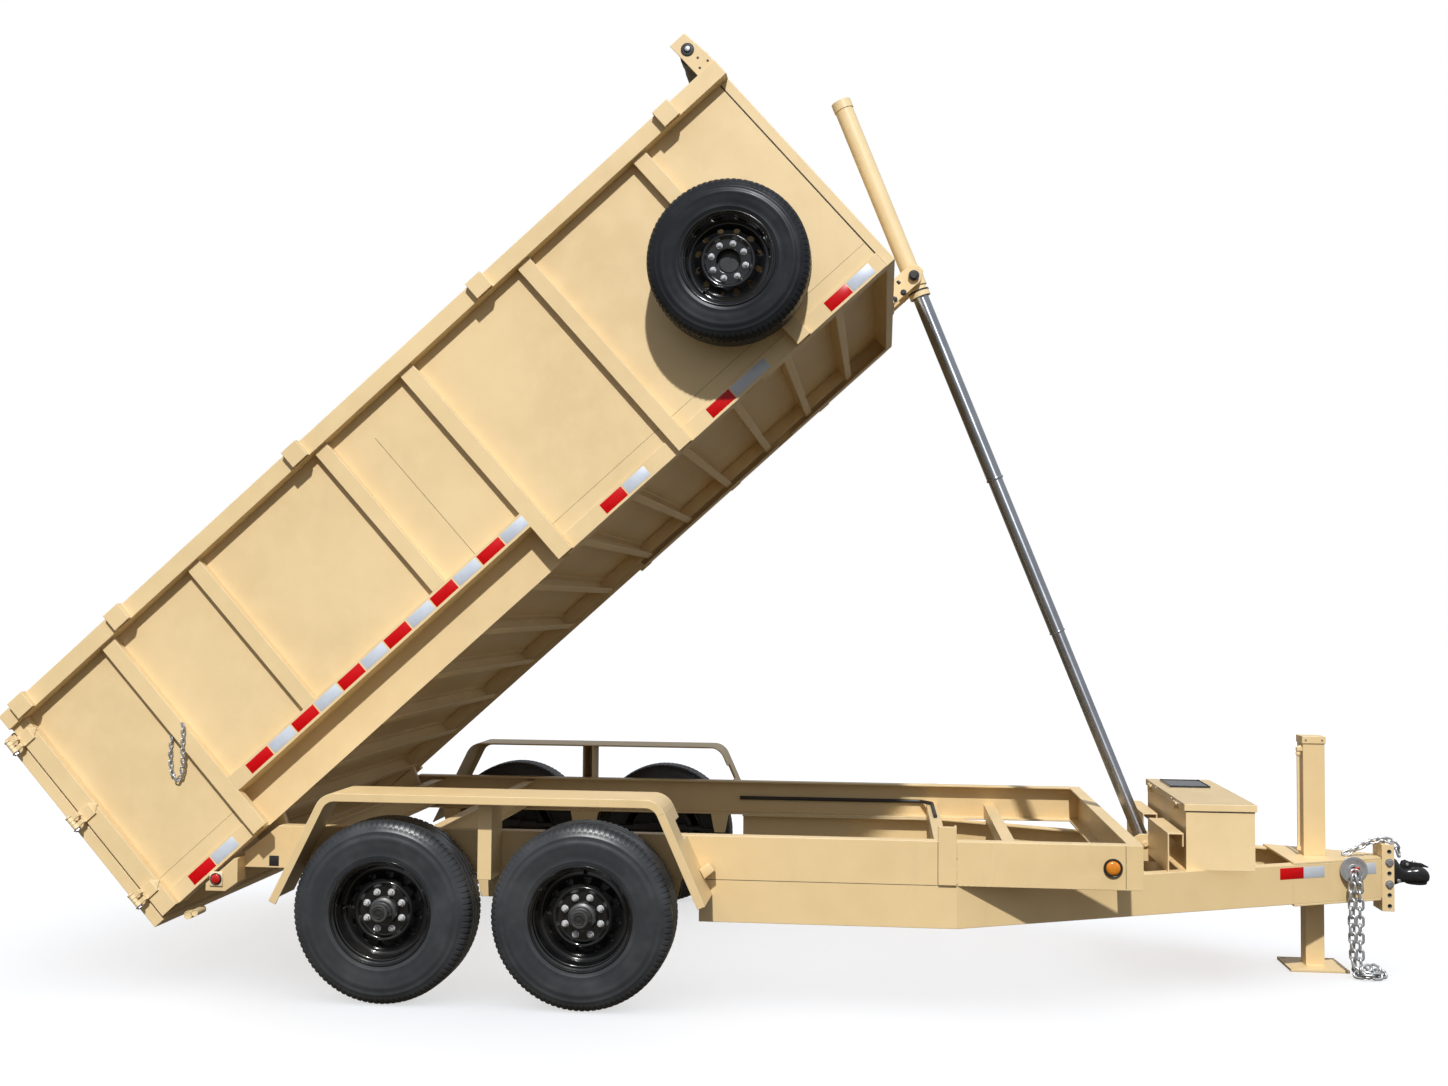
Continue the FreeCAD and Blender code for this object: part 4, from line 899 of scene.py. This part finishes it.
# ------------------------------------------------------------------ hoist: gland rings, wipers, trunnion ends
I4 = Matrix.Identity(4)
b = bmesh.new()
lathe_(b, MH, (0, 0, 0), (0, 0, 1), [(39.3, 1073), (41.6, 1074), (42.6, 1076), (42.6, 1083), (41.2, 1085.3), (37.1, 1085.3), (37.1, 1081), (39.3, 1080)], 64, 0, closed=True)
finish_mesh("gland_ring_stage_1", b, "steel", "stage_1")
b = bmesh.new()
lathe_(b, MH, (0, 0, 0), (0, 0, 1), [(36.1, 1887), (38.4, 1888), (39.2, 1890), (39.2, 1893), (38.0, 1895.3), (33.9, 1895.3), (33.9, 1891), (36.1, 1890)], 64, 0, closed=True)
finish_mesh("gland_ring_stage_2", b, "steel", "stage_2")
b = bmesh.new()
lathe_(b, MH, (0, 0, 0), (0, 0, 1), [(39.9, 94), (46.0, 95.8), (45.0, 97.6), (41.0, 98.2), (39.9, 97.6)], 64, 0, closed=True)
lathe_(b, MH, (0, 0, 0), (0, 0, 1), [(52.2, 62), (54.4, 64), (54.4, 70), (52.2, 72)], 64, 0, closed=True)
finish_mesh("hoist_wiper_ring", b, "plastic_and_painted_shade", "barrel")
b = bmesh.new()
for s in (-1, 1):
    hexhead_(b, MW, (TX, s * 107.6, TZ), (0, s, 0), 34.0, 14.0, True, 0)
finish_mesh("trunnion_pin_heads", b, "satin", "barrel")
b = bmesh.new()
for s in (-1, 1):
    for u, v in ((4344.0, 18.0), (4344.0, 78.0), (4400.0, 14.0)):
        hexhead_(b, MB, (u, s * 92.0, v), (0, s, 0), 19.0, 9.0, True, 0)
    prism_(b, MB, [(4408, 58), (4424, 58), (4424, 78), (4408, 78)], s * 91.6, s * 92.6, 0.2, 1)
    for v in (120.0, 175.0):
        hexhead_(b, MB, (4328.0, s * 128.0, v), (1, 0, 0), 19.0, 9.0, True, 0)
    # fillet welds where the ears meet the wall plate
    for y in (77.2, 92.8):
        sweep_(b, MB, [(4329.5, s * y, 4 + 4.2 * k) for k in range(22)], 3.4, 8, 2, True, lambda q: 1.0 + 0.16 * math.sin(q * 140.0))
finish_mesh("trunnion_bracket_bolts", b, None, "bed", 35.0, ["satin", "plastic_and_painted_shade", "tan"])


# ------------------------------------------------------------------ chains
def link_(bm, m, c, t, s, k=1.0, mi=0, n=20, q=8):
    """One chain link round the point c, long way along t, lying in the plane of t and s."""
    t, s = Vector(t).normalized(), Vector(s)
    s = (s - t * s.dot(t)).normalized()
    w = t.cross(s)
    tb_ = bmesh.new()
    rings = []
    for i in range(n):
        a = 2 * math.pi * (i + 0.5) / n
        ca, sa = math.cos(a), math.sin(a)
        centre = Vector(c) + t * k * (11.75 * ca + (8.5 if ca > 0 else -8.5)) + s * k * 11.75 * sa
        rad = t * ca + s * sa
        rings.append([tb_.verts.new(centre + (rad * math.cos(2 * math.pi * j / q) + w * math.sin(2 * math.pi * j / q)) * 4.75 * k) for j in range(q)])
    for i in range(n):
        a, b2 = rings[i], rings[(i + 1) % n]
        for j in range(q):
            tb_.faces.new((a[j], a[(j + 1) % q], b2[(j + 1) % q], b2[j]))
    merge(bm, tb_, m, mi)


def chain_(bm, m, pts, k=1.0, twist=0.8, ref=(0, 1, 0), mi=0):
    line = tube_points(pts, samples=12)
    d = [0.0]
    for a, b2 in zip(line, line[1:]):
        d.append(d[-1] + (b2 - a).length)
    pitch = 31.0 * k
    n = int(d[-1] / pitch)
    for i in range(n + 1):
        q = min(i * pitch, d[-1] - 0.01)
        j = max(x for x in range(len(d)) if d[x] <= q)
        j = min(j, len(line) - 2)
        f = (q - d[j]) / max(1e-6, d[j + 1] - d[j])
        p = line[j].lerp(line[j + 1], f)
        t = (line[j + 1] - line[j]).normalized()
        r = Vector(ref)
        r = (r - t * r.dot(t))
        r = r.normalized() if r.length > 0.1 else t.orthogonal().normalized()
        w = t.cross(r)
        a = twist + (math.pi / 2 if i % 2 else 0.0) + 0.12 * math.sin(i * 2.3)
        link_(bm, m, p, t, r * math.cos(a) + w * math.sin(a), k, mi)


b = bmesh.new()
chain_(b, MW, [(3471, -194, 452), (3463, -198, 405), (3461, -199, 300), (3462, -200, 180), (3464, -203, 90), (3474, -214, 36), (3508, -232, 22), (3552, -240, 22), (3588, -222, 22)], 1.25)
chain_(b, MW, [(3486, -194, 452), (3495, -199, 405), (3497, -200, 290), (3496, -201, 160), (3496, -203, 80), (3512, -200, 34), (3548, -190, 22), (3580, -182, 22), (3598, -196, 22)], 1.25, 0.3)
chain_(b, MW, [(3480, -238, 22), (3500, -252, 22), (3540, -256, 22), (3572, -248, 22)], 1.25, 1.1)
for x, y, a in ((3520, -214, 0.4), (3560, -212, 2.2), (3492, -228, 1.2)):
    link_(b, MW, (x, y, 46), (math.cos(a), math.sin(a), 0.25), (0, 0.4, 1), 1.25)
# shackles that tie the two strands to the plate
link_(b, MW, (3471, -190, 474), (0.2, 0, 1), (1, 0.2, 0), 1.1)
link_(b, MW, (3486, -190, 474), (-0.2, 0, 1), (1, -0.2, 0), 1.1)
o = finish_mesh("safety_chain_links", b, "zinc", "frame", 60.0)
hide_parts("safety_chains")

b = bmesh.new()
lathe_(b, MW, (3478, -174, 492), (0, -1, 0), [(0, 0), (60.5, 0), (62, 1.6), (62, 6.4), (60.4, 8.0), (47, 8.0), (45.4, 6.6), (27.5, 6.6), (26, 8.0), (0, 8.0)], 72, 0, caps=False)
lathe_(b, MW, (3478, -182, 492), (0, -1, 0), [(0, 0), (17, 0), (17, 1.2), (15, 2.2), (0, 2.2)], 40, 1)
pr = [(3462, 486), (3470, 481), (3500, 495), (3504, 502), (3499, 508), (3490, 507), (3464, 497)]
prism_(b, MW, pr, -194, -184, 3.0, 2)
hexhead_(b, MW, (3478, -193, 494), (0, -1, 0), 9.0, 4.0, False, 3)
prism_(b, MW, [(3452, 484), (3504, 484), (3504, 500), (3452, 500)], -178, -140, 1.5, 4)
o = finish_mesh("chain_plate_with_latch", b, None, "frame", 35.0, ["zinc", "plastic_and_painted_shade", "latch", "bolt", "tan"])
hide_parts("chain_holder")

# a short chain laid over the top of the coupler channel
b = bmesh.new()
chain_(b, MW, [(3488, -47, 551), (3520, -46, 566), (3560, -45, 588), (3604, -44, 608), (3645, -43, 615), (3686, -42, 611), (3712, -42, 586), (3724, -42, 552), (3733, -42, 534)], 1.12, 0.75, (0, 1, 0))
link_(b, MW, (3482, -47, 546), (1, 0, 0.6), (0, 1, 0), 1.0)
finish_mesh("breakaway_chain", b, "zinc", "frame", 60.0)

# holdback chain of the rear doors, hung beside the first post
b = bmesh.new()
HB = MW @ Matrix.Translation((-1880.4, 0.0, 312.6))
chain_(b, HB, [(18, -1096, 800), (13, -1097, 740), (14, -1097, 680), (24, -1098, 628), (44, -1101, 604), (64, -1108, 612), (79, -1118, 652), (86, -1129, 704), (88, -1137, 744), (89, -1139, 790), (90, -1139, 846)], 0.68, 0.78)
for u, y, v in ((552.0, -1085.0, 590.0), (633.0, -1126.0, 578.0)):
    lathe_(b, MB, (u, y, v), (0, -1, 0), [(0, 0), (5, 0), (5, 12), (8, 12.5), (8, 15), (0, 15)], 16, 0)
finish_mesh("door_holdback_chain", b, "zinc", "bed", 60.0)


# ------------------------------------------------------------------ coupler
def loft_(bm, m, sections, n=28, mi=0, p=3.2):
    """Closed body through rounded sections (x, half width, low z, high z)."""
    t = bmesh.new()
    rings = []
    for x, hw, z0, z1 in sections:
        ring = []
        for k in range(n):
            a = 2 * math.pi * (k + 0.5) / n
            ca, sa = math.cos(a), math.sin(a)
            y = math.copysign(abs(ca) ** (2 / p), ca) * hw
            z = (z0 + z1) / 2 + math.copysign(abs(sa) ** (2 / p), sa) * (z1 - z0) / 2
            ring.append(t.verts.new((x, y, z)))
        rings.append(ring)
    for a, b2 in zip(rings, rings[1:]):
        for k in range(n):
            t.faces.new((a[k], a[(k + 1) % n], b2[(k + 1) % n], b2[k]))
    t.faces.new(rings[0][::-1])
    t.faces.new(rings[-1])
    merge(bm, t, m, mi)


b = bmesh.new()
box_(b, MW, (3651, -55.5, 386), (3696, 55.5, 536), 5.0, 0, 3)
loft_(b, MW, [(3690, 54, 392, 530), (3706, 53, 398, 528), (3722, 49, 404, 520), (3734, 44, 409, 500), (3748, 41, 412, 484), (3766, 42, 412, 480), (3786, 47, 411, 484),
              (3806, 52, 411, 489), (3824, 53, 411, 490), (3842, 50, 412, 486), (3856, 43, 415, 477), (3866, 33, 420, 466), (3872, 22, 428, 455), (3874.5, 10, 436, 448)])
lathe_(b, MW, (3815, 0, 406), (0, 0, 1), [(31, 0), (46, 0), (49, 3), (50, 12), (31, 12)], 48, 0, closed=True)
lathe_(b, MW, (3815, 0, 410.4), (0, 0, 1), [(0, 3), (20, 2), (31.5, 0)], 32, 1, caps=False)
# latch lever, its ears and pin on top of the body
for s in (-1, 1):
    prism_(b, MW, [(3742, 478), (3790, 480), (3786, 508), (3772, 516), (3754, 510)], s * 13, s * 18, 1.6, 0)
prism_(b, MW, [(3748, 488), (3770, 482), (3836, 489), (3868, 482), (3873.5, 487), (3842, 503), (3800, 504), (3776, 512), (3756, 506)], -11, 11, 2.6, 0)
lathe_(b, MW, (3770, -24, 499), (0, 1, 0), [(0, 0), (6, 0), (7, 1), (7, 47), (6, 48), (0, 48)], 20, 2)
lathe_(b, MW, (3806, 0, 488), (0, 0, 1), [(0, 0), (9, 0), (9, 22), (6.5, 25), (0, 25)], 20, 2)
for z in (410.0, 512.0):
    for s in (-1, 1):
        hexhead_(b, MW, (3674, s * 66.0, z), (0, s, 0), 25.0, 12.0, True, 2)
    lathe_(b, MW, (3674, -62, z), (0, 1, 0), [(0, 0), (7.8, 0), (7.8, 124), (0, 124)], 20, 2)
for s in (-1, 1):
    lathe_(b, MW, (3722, s * 48.0, 424), (0, s, 0), [(0, 0), (9, 0), (9, 4), (6, 7), (0, 7)], 20, 2)
o = finish_mesh("ball_coupler", b, None, "frame", 40.0, ["gloss_cast", "plastic_and_painted_shade", "bolt"])
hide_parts("coupler")
# rims of the open holes in the channel, each with a black disc just inside it: painted shade of the channel's inside
b = bmesh.new()
for z in (563.0, 461.0, 359.0, 308.0):
    for s in (-1, 1):
        lathe_(b, MW, (3674, s * 66.0, z), (0, s, 0), [(9.0, -6), (9.0, 0.6), (10.6, 0.9), (11.2, -0.2)], 28, 0, caps=False)
        lathe_(b, MW, (3674, s * 58.0, z), (0, s, 0), [(0, 0), (9.0, 0)], 24, 1, caps=False)
finish_mesh("coupler_channel_holes", b, None, "frame", 40.0, ["bolt", "plastic_and_painted_shade"])

# ------------------------------------------------------------------ jack: cap bolt, line fittings, lower collar
b = bmesh.new()
hexhead_(b, MW, (3270, -30, 1008), (0, 0, 1), 19.0, 16.0, False, 0)
hexhead_(b, MW, (3270, -30, 1026), (0, 0, 1), 16.0, 14.0, False, 0)
sweep_(b, MW, tube_points([(3270, -30, 1030), (3270, -30, 1040), (3275, -30, 1046), (3290, -30, 1047)], samples=5), 8.0, 14, 0)
hexhead_(b, MW, (3270, -30, 556), (0, 0, 1), 19.0, 18.0, False, 0)
sweep_(b, MW, [(3287.0 + 101.5 * k / 20, -50.6, 329.5) for k in range(21)], 2.2, 8, 0)
for x in (3300.0, 3376.0):
    hexhead_(b, MW, (x, -53.6, 1083), (0, -1, 0), 9.0, 3.0, False, 1)
finish_mesh("jack_line_fittings", b, None, "frame", 35.0, ["tan", "bolt"])
b = bmesh.new()
for x0, x1, y0, y1 in ((3204, 3472, -125, -121), (3204, 3472, 121, 125)):
    box_(b, MW, (x0, y0, 11.6), (x1, y1, 13.4), 0.6)
for k in range(4):
    x, y = ((3225, -104), (3451, -104), (3225, 104), (3451, 104))[k]
    lathe_(b, MW, (x, y, 12), (0, 0, 1), [(7, 0.0), (10, 0.0), (10, 1.6), (7, 1.6)], 20, 0, closed=True)
sweep_(b, MW, [(3296.0 + 84.0 * k / 24, -44.8, 14.0) for k in range(25)], 4.0, 8, 0, True, lambda q: 1.0 + 0.16 * math.sin(q * 150.0))
sweep_(b, MW, [(3296.0 + 84.0 * k / 24, 44.8, 14.0) for k in range(25)], 4.0, 8, 0, True, lambda q: 1.0 + 0.16 * math.sin(q * 150.0))
finish_mesh("jack_foot_details", b, "tan", "frame")

# ------------------------------------------------------------------ lamps
b = bmesh.new()
for s in (-1, 1):
    y = s * 1025.0
    lathe_(b, MW, (2249.7, y, 617), (0, s, 0), [(0, 0), (39.4, 0), (40.0, 1.5), (40.0, 6.0), (38.2, 8.4), (35.0, 9.0), (32.0, 7.2), (30.0, 4.0), (0, 3.6)], 64, 0, caps=False)
    lathe_(b, MW, (2249.7, y + s * 3.6, 617), (0, s, 0), [(30.0, 0.0), (30.0, 5.0), (28.2, 9.0), (24.0, 12.4), (17.0, 14.6), (8.0, 15.8), (0, 16.2)], 64, 1, caps=False)
    lathe_(b, MW, (2249.7, y + s * 18.8, 617), (0, s, 0), [(0, 0.0), (3.2, 0.0), (3.2, 1.2), (0, 1.8)], 16, 1)
    # tail lamp in its square housing
    yy = s * 1100.0
    prism_(b, MW, [(-1671, 452), (-1611, 452), (-1611, 515), (-1671, 515)], yy - s * 0.5, yy + s * 6.0, 2.0, 2)
    lathe_(b, MW, (-1641, yy + s * 6.0, 484), (0, s, 0), [(0, 0), (26.5, 0), (26.5, 3.0), (24.0, 5.0), (21.4, 3.4), (0, 3.0)], 56, 0, caps=False)
    lathe_(b, MW, (-1641, yy + s * 9.0, 484), (0, s, 0), [(21.2, 0), (20.6, 3.4), (17.0, 6.4), (9.0, 8.2), (0, 8.8)], 56, 3, caps=False)
    # rearward lamps in the light box
    for yc in (1072.0, 1040.0):
        lathe_(b, MW, (-1690, s * yc, 446), (-1, 0, 0), [(0, 0), (14.6, 0), (14.6, 3.0), (13.2, 4.4), (12.0, 3.0), (0, 2.6)], 40, 0, caps=False)
        lathe_(b, MW, (-1692.6, s * yc, 446), (-1, 0, 0), [(11.8, 0), (11.2, 2.2), (7.0, 3.4), (0, 3.8)], 40, 3, caps=False)
o = finish_mesh("marker_and_tail_lamps", b, None, "frame", 40.0, ["plastic_and_painted_shade", "lens_amber", "pale", "lens_red"])
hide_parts("lights")

# ------------------------------------------------------------------ tarp roll
b = bmesh.new()
t = bmesh.new()
NA, NY = 56, 90
grid = []
for j in range(NY + 1):
    y = -1049 + 2098.0 * j / NY
    ring = []
    for k in range(NA):
        a = 2 * math.pi * k / NA
        r = 43.5 + 1.1 * math.sin(y * 0.021 + 2 * a) + 0.8 * math.sin(y * 0.047 - 3 * a) + 0.5 * math.sin(y * 0.11 + a)
        if j in (0, NY):
            r -= 1.0
        # the loose edge of the cloth ends in a step
        f = ((a + 0.35) % (2 * math.pi)) / (2 * math.pi)
        r += 3.4 * (f - 0.5) * 0.8
        ring.append(t.verts.new((4268 + r * math.cos(a), y, 1288 + r * math.sin(a))))
    grid.append(ring)
for a, c in zip(grid, grid[1:]):
    for k in range(NA):
        t.faces.new((a[k], a[(k + 1) % NA], c[(k + 1) % NA], c[k]))
t.faces.new(grid[0][::-1])
t.faces.new(grid[-1])
merge(b, t, MB, 0)
for s in (-1, 1):
    # the turns of the cloth at each end, the tube and its shaft
    for r in (24.0, 29.0, 34.0, 39.0):
        lathe_(b, MB, (4268, s * 1048.5, 1288), (0, s, 0), [(r - 1.7, 0), (r + 1.7, 0), (r + 1.3, 3.2), (r - 1.3, 3.2)], 56, 0, closed=True)
    lathe_(b, MB, (4268, s * 1048, 1288), (0, s, 0), [(0, 0), (19, 0), (19, 4), (15.5, 6), (15.5, 78), (0, 78)], 40, 1)
    lathe_(b, MB, (4268, s * 1134.2, 1288), (0, s, 0), [(0, 0), (29, 0), (29, 3), (27, 5), (15, 5.6), (15, 7.5), (12.2, 9), (0, 9)], 48, 2)
    lathe_(b, MB, (4268, s * 1142.8, 1288), (0, s, 0), [(0, 0), (11.5, 0), (11.5, 2.6), (10, 3.6), (0, 3.6)], 32, 1)
o = finish_mesh("mesh_tarp_roll", b, None, "bed", 40.0, ["cloth", "zinc", "plastic_and_painted_shade"])
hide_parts("tarp_roller")
b = bmesh.new()
for s in (-1, 1):
    for u, v in ((4277, 1230), (4254, 1190), (4300, 1190)):
        lathe_(b, MB, (u, s * 1133.8, v), (0, s, 0), [(0, 0), (5.6, 0), (5.6, 0.7), (4.4, 0.9), (4.0, 0.4), (0, 0.4)], 20, 1, caps=False)
    for u in (4240, 4304):
        hexhead_(b, MB, (u, s * 1113.0, 1171.0), (0, 0, 1), 12.0, 6.0, True, 0)
finish_mesh("tarp_bracket_bolts", b, None, "bed", 35.0, ["bolt", "plastic_and_painted_shade"])

# ------------------------------------------------------------------ door hinges: nuts, wedges and pins
for side, s in (("right", -1), ("left", 1)):
    b = bmesh.new()
    for v in (127.0, 572.0, 1016.0):
        lathe_(b, MB, (-30, s * 1155.0, v + 30), (0, 0, 1), [(0, 0), (15, 0), (15, 6), (12, 8), (0, 8)], 28, 0, caps=False)
        hexhead_(b, MB, (-30, s * 1155.0, v - 30), (0, 0, -1), 22.0, 11.0, True, 1)
        prism_(b, MB, [(10, v - 24), (66, v - 24), (104, v + 3), (66, v + 24), (10, v + 24)], s * 1126.0, s * 1131.0, 1.2, 0)
    finish_mesh("door_hinge_pins_%s" % side, b, None, "bed", 35.0, ["tan", "bolt"])

# ------------------------------------------------------------------ sheet joints, seams and weld runs
def bead_(bm, m, a, c, r=3.0, mi=0, pitch=7.0):
    """A weld run from a to c: a row of overlapping ripples."""
    A, C = Vector(a), Vector(c)
    n = max(8, int((C - A).length / pitch))
    sweep_(bm, m, [A.lerp(C, k / n) for k in range(n + 1)], r, 6, mi, True, lambda q: 1.0 + 0.18 * math.sin(q * n * 1.9))


b = bmesh.new()
w = bmesh.new()
for s in (-1, 1):
    box_(b, MB, (4271.0, s * 1084.6, 4), (4277.5, s * 1085.8, 1084), 0.2)
    box_(b, MB, (2420, s * 1084.6, 140.4), (4270, s * 1085.4, 141.6), 0.1)
    box_(b, MB, (40, s * 1084.6, 140.4), (560, s * 1085.4, 141.6), 0.1)
    box_(b, MB, (2106.6, s * 1084.6, 236), (2108.4, s * 1085.5, 963), 0.2)
    # weld run over the lower rail
    bead_(w, MB, (2460, s * 1085.6, 8.0), (4260, s * 1085.6, 8.0), 3.0, 0, 9.0)
finish_mesh("bed_sheet_joints", b, "caulk", "bed")
finish_mesh("bed_weld_runs", w, "tan", "bed", 60.0)
b = bmesh.new()
w = bmesh.new()
for s in (-1, 1):
    box_(b, MW, (500, s * 1024.6, 523.8), (1523, s * 1025.6, 525.7), 0.2)
    box_(b, MW, (2302.2, s * 1024.6, 530), (2304.4, s * 1025.6, 709), 0.2)
    box_(b, MW, (1520.6, s * 1024.6, 530), (1523.0, s * 1025.8, 709), 0.2)
    # slot in the rear end of the rail, drawn as a black patch on the face: painted shade of the hollow rail
    box_(b, MW, (-1432, s * 1024.6, 532), (-1387, s * 1025.5, 578), 0.3, 1)
    for x0, x1 in ((1610, 1760), (1830, 1980), (2060, 2230)):
        bead_(w, MW, (x0, s * 1022.5, 526.5), (x1, s * 1022.5, 526.5), 2.6)
    for v0, v1 in ((534, 600), (640, 706)):
        bead_(w, MW, (1602.0, s * 1026.0, v0), (1602.0, s * 1026.0, v1), 3.0)
    # tab at the front foot of the fender
    prism_(w, MW, [(508, 576), (546, 604), (572, 572), (530, 536)], s * 1036.0, s * 1084.0, 2.0, 0)
finish_mesh("frame_joint_lines", b, None, "frame", 35.0, ["caulk", "plastic_and_painted_shade"])
finish_mesh("frame_weld_runs", w, "tan", "frame", 60.0)

# ------------------------------------------------------------------ rear sill: the two tube ends under it
b = bmesh.new()
for s in (-1, 1):
    for u, v, r in ((54.0, -58.0, 19.0), (84.0, -70.0, 16.0)):
        lathe_(b, MB, (u, s * 1010.0, v), (0, s, 0), [(0, -60), (r - 3.5, -60), (r - 3.5, 24), (r, 24), (r, -60)], 36, 0, caps=False)
        # a black disc just inside each open end: painted shade inside the tube
        lathe_(b, MB, (u, s * 1010.0, v), (0, s, 0), [(0, 20), (r - 3.5, 20)], 36, 0, caps=False)
finish_mesh("rear_sill_tubes", b, None, "bed", 35.0, ["tan_round", "plastic_and_painted_shade"])

# ------------------------------------------------------------------ toolbox: clasps, gasket line, panel frame
b = bmesh.new()
for y in (-380.0, -200.0, 200.0, 380.0):
    box_(b, MW, (2640.0, y - 13, 806), (2646.6, y + 13, 816), 1.2, 0)
    lathe_(b, MW, (2643.4, y - 12, 811), (0, 1, 0), [(0, 0), (3.4, 0), (3.4, 24), (0, 24)], 16, 0)
for x0, x1, y0, y1 in ((2700, 2895, 130, 134), (2700, 2895, 396, 400), (2700, 2704, 134, 396), (2891, 2895, 134, 396)):
    box_(b, MW, (x0, y0, 829.6), (x1, y1, 832.6), 0.6, 1)
for x, y in ((2706, 136), (2889, 136), (2706, 394), (2889, 394)):
    hexhead_(b, MW, (x, y, 832.4), (0, 0, 1), 7.0, 2.6, False, 0)
finish_mesh("toolbox_lid_fittings", b, None, "lid", 35.0, ["zinc", "satin"])
b = bmesh.new()
for x0, x1, y0, y1 in ((2654.2, 2655.2, -488, 488), (2957.8, 2958.8, -488, 488), (2655, 2958, -488.8, -487.8), (2655, 2958, 487.8, 488.8)):
    box_(b, MW, (x0, y0, 786.0), (x1, y1, 790.6), 0.2)
finish_mesh("toolbox_gasket", b, "plastic_and_painted_shade", "frame")

# ------------------------------------------------------------------ suspension: hangers in frame colour
sus = NODES["suspension"].data
sus.materials.append(M["tan"])
for f in sus.polygons:
    c = f.center
    y, z = abs(c.y * 1000.0 + Y0), c.z * 1000.0
    f.material_index = 1 if (z > 470 or y > 1020 or y < 946) else 0


# ------------------------------------------------------------------ which key light falls on what
upper, lower = bpy.data.collections.new("lit_by_key"), bpy.data.collections.new("lit_by_frame_key")
RAISED = {"bed", "door_right", "door_left", "lid", "barrel", "stage_1", "stage_2", "stage_3"}
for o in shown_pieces():
    on = body_of(o)
    names = {on} if isinstance(on, str) else set(on or ())
    (upper if names & RAISED or o.name == "toolbox_body" else lower).objects.link(o)
key.light_linking.receiver_collection = upper
key_low.light_linking.receiver_collection = lower
caster = bpy.data.collections.new("casts_frame_shadow")
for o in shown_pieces():
    if o.name not in ("toolbox_body", "toolbox_lid", "solar_panel"):
        caster.objects.link(o)
key_low.light_linking.blocker_collection = caster

# ------------------------------------------------------------------ final update of the scene
bpy.context.view_layer.update()
